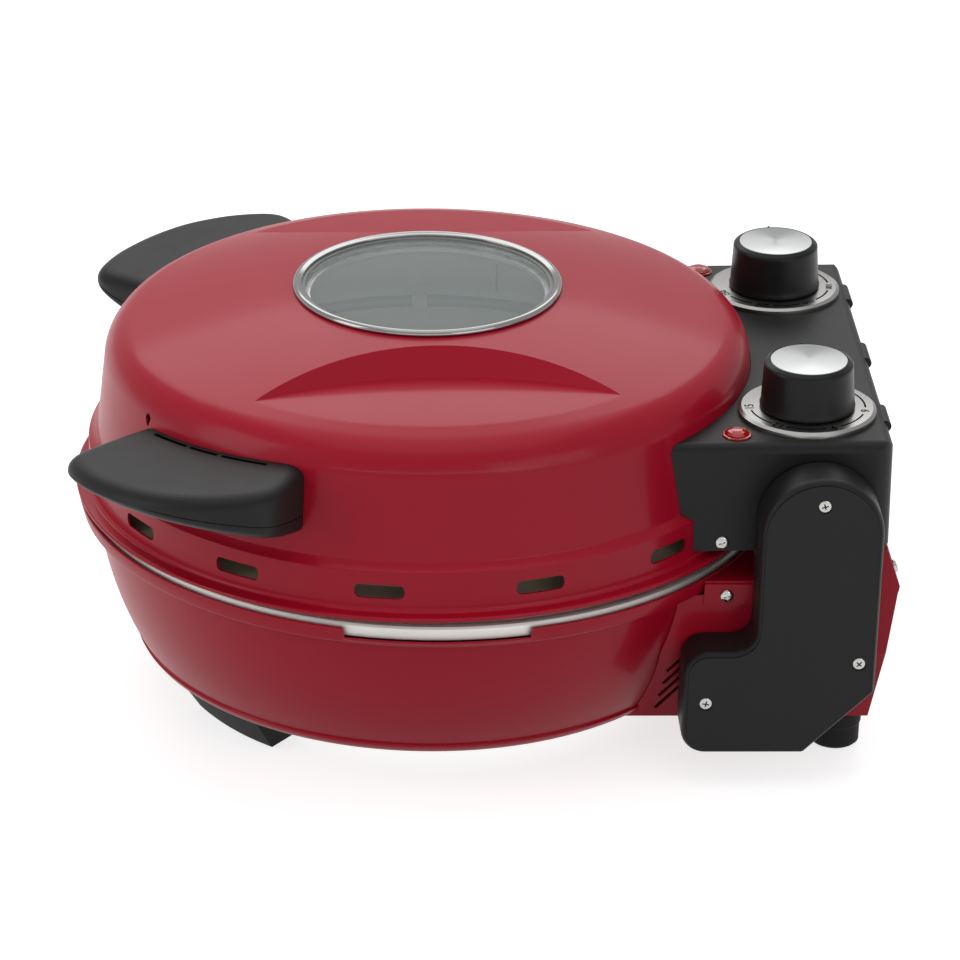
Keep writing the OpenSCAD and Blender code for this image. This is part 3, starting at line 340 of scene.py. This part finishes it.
# Arms. Black moulded housings in the shape of a boot, with soft outer edges and a rim round a flush
# cover; each hides a plated steel frame with the pin that the lid turns on.
black, s, shader = material("Black plastic", (0.010, 0.010, 0.0103), 0.46, Specular_IOR_Level=0.22)
feed(s, shader, "Normal", s.bump(s.noise(1800, 2.0), 0.00005, 0.3))
feed(s, shader, "Roughness", s.noise(60, 2.0) * 0.08 + 0.42)
finish(black, "arm_cover_right", "arm_cover_left")
finish(zinc, "arm_frame_right", "arm_frame_left", "hinge_pin_right", "hinge_pin_left")


def boot(x, inset):
    """Outline of an arm at x, shrunk by inset: round head, straight back, cut heel and a toe."""
    head_z, head_r = 136, 30 - inset
    leg, shin_low, cut, blunt = 29.8 - inset, 74 - inset, 34.5 - inset / 2, 2.6
    toe, low, turn, hollow = 121.5 + inset, 18.5 + inset, 12 - inset, 11 + inset
    line = (
        arc(hinge_back, head_z, head_r, 0, 180, 48)
        + arc(hinge_back - leg - hollow, shin_low + hollow, hollow, 0, -90, 10)
        + arc(toe + turn, shin_low - turn, turn, 90, 180, 10)
        + arc(toe + turn, low + turn, turn, 180, 270, 10)
        + arc(hinge_back + leg - cut, low + blunt, blunt, 270, 315, 4)
        + arc(hinge_back + leg - blunt, low + cut, blunt, 315, 360, 4)
    )
    return [Vector((x, y, z)) for y, z in line]


# Each step of the moulding, from its inner face to the rim's inner edge: where it lies and its inset.
steps = [(119.4, 0.6), (120.0, 0.0), (138.6, 0.0), (139.7, 0.1), (140.6, 0.35)]
steps += [(141.4, 0.75), (141.95, 1.2), (142.3, 1.55), (142.15, 1.8), (140.5, 1.85)]
bosses = ((hinge_back, 152.5), (206.9, 68.0), (132.9, 46.1))
for name, mirror in (("right", Matrix()), ("left", LEFT)):
    shell = stacked([boot(x, inset) for x, inset in steps])
    node = "arm_housing_" + name
    piece("arm_shell_" + name, shell, OVEN @ mirror, black, "black_plastic", "base", node, smooth=35)
seats = [facing(side * 141.75, y, z, (side, 0, 0)) for side in (1, -1) for y, z in bosses]
screws("arm_cover_screws", OVEN, "base", seats, 0.95, 9.0)

# Lid. One pressing in enamelled steel: domed crown, shoulder and drum, with a crescent pocket on
# each side of the window and a small keyhole at the front of each handle. It leans 0.9 degrees.
lid_lean = radians(0.9)
LID = (
    Matrix.Translation(hinge)
    @ Matrix.Rotation(lid_lean, 4, "X")
    @ Matrix.Translation((0, -hinge_back / 1000, -hinge[2]))
    @ Matrix.Scale(0.001, 4)
)
drum_r, drum_low, lid_high, dome_r, bend_r, hole_r = 167.1, 137.2, 78, 542, 20, 64.5
drum_up = Vector((-3.8, 32)).normalized()
drum_in = Vector((-drum_up.y, drum_up.x))
foot = Vector((drum_r, drum_low))
dome = Vector((0, drum_low + lid_high - dome_r))

# The shoulder's bend touches the dome and the drum's slope; turn is its middle.
to_foot = foot + bend_r * drum_in - dome
ahead = to_foot.dot(drum_up)
along = sqrt(ahead**2 - to_foot.length_squared + (dome_r - bend_r) ** 2) - ahead
turn = foot + along * drum_up + bend_r * drum_in
turn_low = degrees(atan2(-drum_in.y, -drum_in.x))
turn_high = degrees(atan2(turn.y - dome.y, turn.x))
crown_low = turn.x + bend_r * cos(radians(turn_high))
radii = [hole_r + (crown_low - hole_r) * i / 40 for i in range(40)]
crown = [(r, dome.y + sqrt(dome_r**2 - r**2)) for r in radii]
shoulder = arc(turn.x, turn.y, bend_r, turn_high, turn_low, 22)
outside = crown + shoulder + spaced([shoulder[-1], (drum_r, drum_low + 0.2)], 5)[1:]
inside = [(drum_r - sheet, drum_low + 0.2)] + arc(turn.x, turn.y, bend_r - sheet, turn_low, 64, 10)
inside += [(146, 189.6), (80, 196.1), (68, 208.4), (hole_r, 211.0)]
drawn = turned(outside + inside, 320)
lid_crown = piece("lid_crown", drawn, LID, red, "red_paint", "lid", "lid_shell", smooth=30)

# A cone beside the lid cuts each crescent pocket.
pocket_x, pocket_y, pocket_r, pocket_z = 254.9, 3.8, 171, 196.9
cone = [(0, pocket_z), (pocket_r, pocket_z), (pocket_r + 28, pocket_z + 40), (0, pocket_z + 40)]
cutters = bmesh.new()
for x in (-pocket_x, pocket_x):
    turned(cone, 360, Matrix.Translation((x, pocket_y, 0)), cutters)
keyhole_z = 176.5
keyhole = arc(0, 1.3, 2.1, -30, 210, 12) + arc(0, -1.5, 1.2, 190, 350, 8)
for a in (-58.5, -124.1):
    spin = Matrix.Rotation(radians(a), 4, "Z")
    stacked([[spin @ Vector((r, u, keyhole_z + v)) for u, v in keyhole] for r in (155, 172)], cutters)
carve(lid_crown, cutters, LID, 30)

# Skirt of the lid. The same sheet below a sloping ledge, with a rolled lip and twelve vent slots
# punched through it.
outline = (
    spaced([(167.1, 137.6), (167.3, 137.0)], 1)
    + arc(170.6, 133.4, 1.0, 55, 5, 4)
    + spaced([(171.6, 133.0), (171.6, 116.5)], 2.4)
    + arc(173.6, 115.4, 2.0, 180, 270, 5)
    + arc(177.4, 112.2, 1.2, 90, -90, 8)
    + spaced([(172.0, 111.0), (170.4, 114.0), (170.4, 133.6), (166.0, 136.6)], 2.4)
)
lid_skirt = piece("lid_skirt", turned(outline, 360), LID, red, "red_paint", "lid")
vent_z, half_long, half_tall, end_r = 123.8, 9.3, 0.95, 2.7
vent = []
for i, (u, v) in enumerate(((1, 1), (-1, 1), (-1, -1), (1, -1))):
    vent += arc(u * half_long, v * half_tall, end_r, 90 * i, 90 * i + 90, 6)
vents = bmesh.new()
for side in (-1, 1):
    for a in (10, 33.25, 56, 80.5, 106.5, 131):
        spin = Matrix.Rotation(radians(-90 + side * a), 4, "Z")
        stacked([[spin @ Vector((r, u, vent_z + v)) for u, v in vent] for r in (163, 179)], vents)
carve(lid_skirt, vents, LID)

# Lining of the lid. A bright steel wall and a cone above it, with a lap seam and rivets; the heater
# hangs from it on clips. Its back, seen through the vents, is painted a duller, darker brown as shade.
lining, s, shader = material("Lining steel", (0.74, 0.72, 0.69), 0.42, 1.0)
wall_r, flange_z, slope = 0.14965, 0.1160, tan(lid_lean)
x, y, z = s.place()
level = z - (y - hinge[1]) * slope
y = y - oven_y + (z - hinge[2]) * slope
radius = s.maths("SQRT", x * x + y * y)
# Painted shade: the wall's back above the flange, seen through the vents, is coloured darker brown.
back = (radius > wall_r) * (level > flange_z)
feed(s, shader, "Base Color", s.mix(back, (0.84, 0.83, 0.81, 1), (0.62, 0.56, 0.43, 1)))
feed(s, shader, "Roughness", s.noise(60, 3.0, (1, 1, 14)) * 0.12 + 0.38 + back * 0.3)
feed(s, shader, "Metallic", 0.6 - back * 0.4)
finish(lining, "lid_liner")


def lap(first, last, thick):
    """Strip on the liner's wall between two angles, standing thick into the oven."""
    bm = bmesh.new()
    face_r, low, high = 149.3, 148.5, 186.0
    ends = [(face_r - thick, low), (face_r - thick, high), (face_r - 0.02, high), (face_r - 0.02, low)]
    start = Matrix.Rotation(radians(first), 4, "Z")
    face = bm.faces.new([bm.verts.new(start @ Vector((r, 0, z))) for r, z in ends])
    sweep = {"cent": (0, 0, 0), "axis": (0, 0, 1), "angle": radians(last - first), "steps": 6}
    bmesh.ops.spin(bm, geom=[face], **sweep)
    return bm


piece("liner_lap", lap(163.9, 168.0, 0.4), LID, lining, "bright_steel", "lid")
# Painted shadow: a thin dark strip in the heater's material along the lap's edge stands for the line of
# shade that the lap casts.
piece("liner_lap_shadow", lap(163.6, 163.9, 0.2), LID, sheath_and_lap_shadow, "heater_tube", "lid")
finish(steel, "liner_rivets", "upper_heater_clips")
finish(sheath_and_lap_shadow, "upper_heater")

# Window. A polished steel ring laps the crown and holds a clear tempered pane on a grey gasket,
# clamped from below.
chrome, s, shader = material("Polished ring", (0.30, 0.30, 0.295), 0.12, 1.0)
feed(s, shader, "Roughness", s.noise(240, 2.0) * 0.05 + 0.11)
outline = [(63.0, 207.6), (64.2, 207.6), (64.2, 211.6), (67.3, 211.4)]
outline += arc(65.4, 212.1, 2.1, -15, 108, 10) + arc(63.5, 212.9, 0.6, 80, 180, 4)
piece("polished_ring", turned(outline, 192), LID, chrome, "chrome_trim", "lid", "window_ring", smooth=50)
silicone, s, shader = material("Grey silicone", (0.24, 0.24, 0.235), 0.5, Specular_IOR_Level=0.3)
feed(s, shader, "Roughness", s.noise(300, 2.0) * 0.1 + 0.45)
finish(silicone, "window_gasket")
finish(steel, "window_clamp")

# Painted reflection: the pane's pale blue-green colour, laid thinly over the oven's inside, stands for the
# haze that it reflects.
glass, s, shader = material("Window glass", (0.86, 0.97, 0.97), 0.04, Alpha=0.15, Specular_IOR_Level=0.5)
feed(s, shader, "Roughness", s.noise(50, 1.0) * 0.02 + 0.03)
finish(glass, "window_glass")

# Handles. A soft black grip seats on the drum at each side of the lid. Its top droops to the front,
# and a lower cover closes it below. The left one stands 2.6 degrees back.
# Corners of a grip's plan: distance and angle from the lid's axis, and how round it is.
corners = [
    (203.8, -13.9, 11), (200.0, -8.0, 20), (201.5, -2.0, 20), (201.0, 3.0, 20),
    (195.5, 8.3, 20), (192.7, 14.5, 12), (155.1, 17.4, 4), (155.1, -17.4, 4)
]
corners = [(Vector((r * cos(radians(a)), r * sin(radians(a)))), c) for r, a, c in corners]


def grip_loop(inset):
    """Plan of a grip as evenly spaced points, moved inwards by inset."""
    rays, count, passes = 720, 160, 30
    dense = []
    for i in range(rays):
        out = Vector((cos(2 * pi * i / rays), sin(2 * pi * i / rays)))
        centre, radius = max(corners, key=lambda c: c[0].dot(out) + c[1])
        dense.append((centre + out * radius, out))
    lengths = [0.0]
    for i in range(rays):
        lengths.append(lengths[-1] + (dense[(i + 1) % rays][0] - dense[i][0]).length)
    loop = []
    i = 0
    for k in range(count):
        want = lengths[-1] * k / count
        while lengths[i + 1] < want:
            i += 1
        t = (want - lengths[i]) / max(1e-9, lengths[i + 1] - lengths[i])
        p, q = dense[i], dense[(i + 1) % rays]
        loop.append((p[0].lerp(q[0], t), p[1].lerp(q[1], t)))
    for _ in range(passes):
        near = zip(loop[-1:] + loop, loop, loop[1:] + loop[:1])
        loop = [tuple((a + 2 * b + c) / 4 for a, b, c in zip(*three)) for three in near]
    return [p - out.normalized() * inset for p, out in loop]


def grip_top(p):
    """Height of a grip's top, which drops 4 degrees to the front and 1 degree outwards."""
    return 177.4 + 0.0699 * p.y - 0.0175 * (p.x - drum_r)


def grip_low(p):
    """Height of a grip's underside, which rises 15 degrees outwards."""
    return 149.9 + 0.268 * (p.x - drum_r)


def grip(turn):
    """Grip with a rounded underside, a fine groove round it and a rounded top edge."""
    heel_r, top_round, top_drop, top_crown = 160.5, 10.0, 6.5, 0.4
    heart = Vector((186, 0))
    spin = Matrix.Rotation(turn, 4, "Z")
    loops = []

    def add(plan, heights):
        kept = [p if p.length > heel_r else p * (heel_r / p.length) for p in plan]
        loops.append([spin @ Vector((p.x, p.y, z)) for p, z in zip(kept, heights)])

    edge = grip_loop(0)
    outward = [(p - q).normalized() for p, q in zip(edge, grip_loop(1))]
    shares = [min(1.0, max(0.0, (p.length - 175) / 40)) for p in edge]
    shares = [k * k * (3 - 2 * k) for k in shares]
    wide = [4.5 + 8.5 * k for k in shares]
    high = [4.5 + 1.0 * k for k in shares]
    for share in (0.1, 0.4, 0.7, 0.9):
        plan = [heart.lerp(p - m * w, share) for p, m, w in zip(edge, outward, wide)]
        add(plan, [grip_low(p) for p in plan])
    for i in range(11):
        a = radians(9 * i)
        plan = [p - m * w * (1 - sin(a)) for p, m, w in zip(edge, outward, wide)]
        add(plan, [grip_low(p) + h * (1 - cos(a)) for p, h in zip(plan, high)])
    for inset, step in ((0.0, -0.3), (0.45, -0.15), (0.45, 0.15), (0.0, 0.3)):
        plan = grip_loop(inset)
        walls = [grip_low(p) + h for p, h in zip(plan, high)]
        rooms = [grip_top(p) - top_drop - top_crown - wall for p, wall in zip(plan, walls)]
        add(plan, [wall + room * 0.2 + step * min(1.0, room / 2) for wall, room in zip(walls, rooms)])
    for i in range(10):
        a = radians(10 * i)
        plan = grip_loop(top_round * (1 - cos(a)))
        add(plan, [grip_top(p) - top_drop * (1 - sin(a)) - top_crown for p in plan])
    inner = grip_loop(top_round)
    for share in (0.93, 0.8, 0.6, 0.35, 0.1):
        plan = [heart.lerp(p, share) for p in inner]
        add(plan, [grip_top(p) - top_crown * share**4 for p in plan])
    return stacked(loops)


# Black of the dials' printing, and painted shade for the three slots along the drum on each grip.
ink_and_slot_shade, s, shader = material("Black ink", (0.002, 0.002, 0.002), 0.9, Specular_IOR_Level=0.0)
feed(s, shader, "Roughness", s.noise(300, 2.0) * 0.1 + 0.85)


def slot_shade_strips(turn):
    """Three thin black strips of painted shade that stand for the slots between a grip and the drum."""
    spin = Matrix.Rotation(turn, 4, "Z")
    bm = bmesh.new()
    for first, last in ((-12.8, -4.6), (-3.6, 2.4), (3.4, 12.2)):
        angles = [radians(first + (last - first) * i / 12) for i in range(13)]
        rows = []
        for r in (drum_r - 1.6, drum_r):
            plan = [Vector((r * cos(a), r * sin(a))) for a in angles]
            rows.append([bm.verts.new(spin @ Vector((p.x, p.y, grip_top(p) - 0.04))) for p in plan])
        edges = [bm.edges.new(pair) for row in rows for pair in zip(row, row[1:])]
        bmesh.ops.bridge_loops(bm, edges=edges)
    bmesh.ops.solidify(bm, geom=bm.faces, thickness=0.2)
    return bm


for name, mirror, turn in (("right", Matrix(), radians(-41.3)), ("left", LEFT, radians(-38.7))):
    place = LID @ mirror
    grip_nodes = ("handle_grip_" + name, "handle_base_" + name)
    piece("grip_" + name, grip(turn), place, black, "black_plastic", "lid", *grip_nodes, smooth=50)
    piece("slot_shade_strips_" + name, slot_shade_strips(turn), place, ink_and_slot_shade, "black_plastic", "lid", smooth=50)

# Control box. A black moulded cover with a floor, held by four screws; plated brackets in it turn on
# the hinge pins, and two faceted red lamp lenses sit in its top.
finish(black, "control_housing", "control_floor")
finish(zinc, "pivot_bracket_right", "pivot_bracket_left")
finish(white, "lamp_holders")
seats = [facing(side * 117.5, 139.5, 122.5, (side, 0, 0)) for side in (1, -1)]
seats += [facing(side * 95, 222, 134, (0, 1, 0)) for side in (1, -1)]
screws("control_screws", LID, "lid", seats, 1.35)

lamp, s, shader = material("Lamp red", (0.55, 0.003, 0.004), 0.1, Transmission_Weight=0.3, Coat_Weight=0.4)
feed(s, shader, "Roughness", s.noise(300, 1.0) * 0.06 + 0.04)
box_top = 174.0
bezel = [(0, 0.05), (7.0, 0.05), (7.1, 0.5), (6.8, 0.95), (6.2, 1.0), (6.1, 0.6), (0, 0.6)]
facets = [(0, 0.7), (5.9, 0.7), (5.9, 1.5), (4.6, 2.6), (2.6, 3.3), (0, 3.5)]
bm = bmesh.new()
for x in (-105, 105):
    seat = Matrix.Translation((x, 146.5, box_top))
    turned(bezel, 48, seat, bm)
    turned(facets, 12, seat, bm)
piece("lamp_domes", bm, LID, lamp, "lamp_red", "lid", "lamp_lenses", smooth=12)

# Dials. Bevelled satin aluminium plates on the box, with a printed ring that the numbers break.
# Minutes run clockwise from 0 to 15, and degrees from 0 to 250.
plate, s, shader = material("Dial aluminium", (0.33, 0.325, 0.315), 0.28, 1.0)
feed(s, shader, "Roughness", s.noise(500, 2.0) * 0.08 + 0.25)
dial_x, dial_y = 78, 183.5
ring_r, letters_r, print_z = 28.35, 28.3, 3.26
outline = [(0, 0), (33.9, 0), (34.0, 1.0), (33.9, 2.1), (32.3, 3.15), (31.8, 3.2), (0, 3.2)]
minutes = {"0": 184, "3": 130, "6": 75.7, "9": 20.5, "12": -35.5, "15": -89}
heat = {"0": 184, "50": 134, "100": 84, "150": 33, "200": -18, "250": -69}
for name, mirror, x, size, room, marks in (
    ("timer", Matrix(), dial_x, 6.2, 8.5, minutes),
    ("thermostat", LEFT, -dial_x, 4.6, 11, heat),
):
    place = LID @ mirror @ Matrix.Translation((dial_x, dial_y, box_top))
    disc = turned(outline, 128)
    piece(name + "_plate", disc, place, plate, "dial_plate", "lid", name + "_dial", smooth=20)
    printing = bmesh.new()
    angles = sorted(marks.values())
    for low, high in zip(angles, angles[1:]):
        a = radians(low + room)
        radii = (ring_r * 0.984, ring_r * 1.016)
        ends = [printing.verts.new((r * cos(a), r * sin(a), print_z)) for r in radii]
        line = printing.edges.new(ends)
        span = radians(high - low - 2 * room)
        sweep = {"cent": (0, 0, 0), "axis": (0, 0, 1), "angle": span, "steps": 24}
        bmesh.ops.spin(printing, geom=ends + [line], **sweep)
    for label, angle in marks.items():
        letters = bpy.data.curves.new(label, "FONT")
        letters.body = label
        letters.size = size
        letters.align_x = "CENTER"
        letters.align_y = "CENTER"
        letters.resolution_u = 4
        letters.offset = 0.07
        holder = bpy.data.objects.new(label, letters)
        flat = bpy.data.meshes.new_from_object(holder)
        spin = Matrix.Rotation(radians(angle), 4, "Z")
        outward = Matrix.Translation((letters_r, 0, print_z)) @ Matrix.Rotation(radians(-90), 4, "Z")
        flat.transform(spin @ outward)
        printing.from_mesh(flat)
        bpy.data.objects.remove(holder)
    place = LID @ Matrix.Translation((x, dial_y, box_top))
    piece(name + "_print", printing, place, ink_and_slot_shade, "black_plastic", "lid", smooth=30)
finish(white, "timer_unit", "thermostat_unit")
finish(zinc, "timer_shaft", "thermostat_shaft")

# Knobs. Tapered black plastic with a slightly flared foot and a small pointer on the top edge,
# pressed on round shafts. Each top carries an aluminium cap, spun so that light fans out on it.
knob_black, s, shader = material("Knob plastic", (0.007, 0.007, 0.0073), 0.36, Specular_IOR_Level=0.22)
feed(s, shader, "Roughness", s.noise(120, 2.0) * 0.06 + 0.33)

spun, s, shader = material("Spun aluminium", (0.40, 0.41, 0.405), 0.3, 1.0, Anisotropic=0.7)
x, y, z = s.place()
x = s.maths("ABSOLUTE", x) - dial_x / 1000
y = y - (oven_y + 0.1829)
groove = {"W": s.maths("SQRT", x * x + y * y) * 5000, "Scale": 1.0}
groove = s.make("ShaderNodeTexNoise", groove, noise_dimensions="1D")
feed(s, shader, "Roughness", groove * 0.1 + 0.26)
knob_z = box_top + 3.7
side = [(23.0 - 1.1 * i / 8, 3 + 17.4 * i / 8) for i in range(9)]
outline = [(0, 0), (22.6, 0), (23.4, 0.5), (23.5, 1.2), (23.2, 2.2)] + side
outline += arc(19.9, 21.4, 2.1, 20, 62, 5) + [(19.4, 24.2), (19.2, 24.1), (19.2, 23.5), (0, 23.5)]
cap = [(0, 23.55), (18.9, 23.55), (19.0, 23.8), (18.7, 24.2), (18.2, 24.3), (0, 24.3)]
for name, mirror, point in (("timer", Matrix(), 184), ("thermostat", LEFT, -4)):
    place = LID @ mirror @ Matrix.Translation((dial_x, dial_y, knob_z))
    bm = turned(outline, 96)
    ridge = Matrix.Translation((21.1, 0, 21.2)) @ Matrix.Diagonal((1.7, 1.1, 3.0, 1))
    ridge = Matrix.Rotation(radians(point), 4, "Z") @ ridge
    bmesh.ops.create_uvsphere(bm, u_segments=16, v_segments=10, radius=1, matrix=ridge)
    piece(name + "_body", bm, place, knob_black, "black_plastic", name + "_knob", name + "_knob")
    disc = turned(cap, 96)
    piece(name + "_top", disc, place, spun, "knob_cap", name + "_knob", name + "_cap", smooth=30)

# Camera. It stands 25 degrees above the table at the oven's right side, rolled a little.
az, el, roll = radians(86.95), radians(24.80), radians(1.39)
picture, sensor, focal, middle_x, middle_y = 960, 36, 4356.75, 478.9, 480.7
back = Vector((sin(az) * cos(el), -cos(az) * cos(el), sin(el)))
across = Vector((cos(az), sin(az), 0))
up = back.cross(across)
right = across * cos(roll) + up * sin(roll)
up = up * cos(roll) - across * sin(roll)
distance = 2.2286
eye = Vector((0, oven_y + 0.02693, 0.10023)) + back * distance
lens = bpy.data.cameras.new("Camera")
lens.lens = focal * sensor / picture
lens.sensor_width = sensor
lens.shift_x = (picture / 2 - middle_x) / picture
lens.shift_y = (middle_y - picture / 2) / picture
camera = bpy.data.objects.new("Camera", lens)
camera.matrix_world = Matrix((
    (right.x, up.x, back.x, eye.x),
    (right.y, up.y, back.y, eye.y),
    (right.z, up.z, back.z, eye.z),
    (0, 0, 0, 1),
))
bpy.context.scene.collection.objects.link(camera)
bpy.context.scene.camera = camera

# Studio floor. A wide pale disc, white to the camera, to glossy surfaces and through the glass,
# and greyer for the light that it throws back; it keeps the oven's shadow.
bm = bmesh.new()
bmesh.ops.create_circle(bm, cap_ends=True, segments=96, radius=12)
floor_mesh = bpy.data.meshes.new("Floor")
bm.to_mesh(floor_mesh)
bm.free()
floor = bpy.data.objects.new("Floor", floor_mesh)
bpy.context.scene.collection.objects.link(floor)
pale, s, shader = material("Floor", (0.8, 0.8, 0.8), 0.9, Specular_IOR_Level=0.0, Emission_Strength=0.7)


def shown(shade, mirrored):
    """1 for rays from the camera, less off a glossy surface or through glass, 0 for the others."""
    names = ("Is Camera Ray", "Is Glossy Ray", "Is Transmission Ray")
    camera_ray, glossy, clear = (shade.make("ShaderNodeLightPath", out=name) for name in names)
    return shade.maths("MINIMUM", camera_ray + (glossy + clear) * mirrored, 1.0)


seen = shown(s, 1.0)
feed(s, shader, "Base Color", s.mix(seen, (0.42, 0.42, 0.42, 1), (0.72, 0.72, 0.72, 1)))
feed(s, shader, "Emission Color", s.mix(seen, (0, 0, 0, 1), (1, 1, 1, 1)))
floor_mesh.materials.append(pale)

# Light. An even pale surround that shows white, a broad overhead softbox, a tall one at the left,
# a low one and a long strip in front, and a wide one behind.
world = bpy.data.worlds.new("Studio")
world.use_nodes = True
bpy.context.scene.world = world
s = Shade(world.node_tree)
base = world.node_tree.nodes["Background"]
base.inputs["Color"].default_value = (1, 1, 1, 1)
base.inputs["Strength"].default_value = 0.38
bright = s.make("ShaderNodeBackground", {"Color": (1, 1, 1, 1), "Strength": 1.0})
dim = Shade(world.node_tree, base.outputs[0])
both = s.make("ShaderNodeMixShader", {0: shown(s, 0.42), 1: dim, 2: bright})
world.node_tree.links.new(both.socket, world.node_tree.nodes["World Output"].inputs["Surface"])


def softbox(name, place, aim, width, height, power):
    data = bpy.data.lights.new(name, "AREA")
    data.shape = "RECTANGLE"
    data.size = width
    data.size_y = height
    data.energy = power
    made = bpy.data.objects.new(name, data)
    made.location = place
    made.rotation_euler = (Vector(place) - Vector(aim)).to_track_quat("Z", "Y").to_euler()
    made.visible_camera = False
    bpy.context.scene.collection.objects.link(made)


softbox("Overhead", (-0.1, 0, 1.6), (0, 0, 0.15), 1.5, 1.8, 6)
softbox("Left", (0.5, -1.5, 0.7), (0, 0, 0.12), 0.7, 1.2, 5)
softbox("Front", (1.5, 1.1, 0.7), (0, 0, 0.12), 1.2, 0.9, 4)
softbox("Low strip", (2.2, 0, 0.6), (0, 0, 0.15), 3.0, 0.14, 3.6)
softbox("Behind", (-1.9, -0.1, 1.8), (0, 0, 0.15), 2.8, 1.2, 22)

scene = bpy.context.scene
scene.view_settings.view_transform = "Standard"
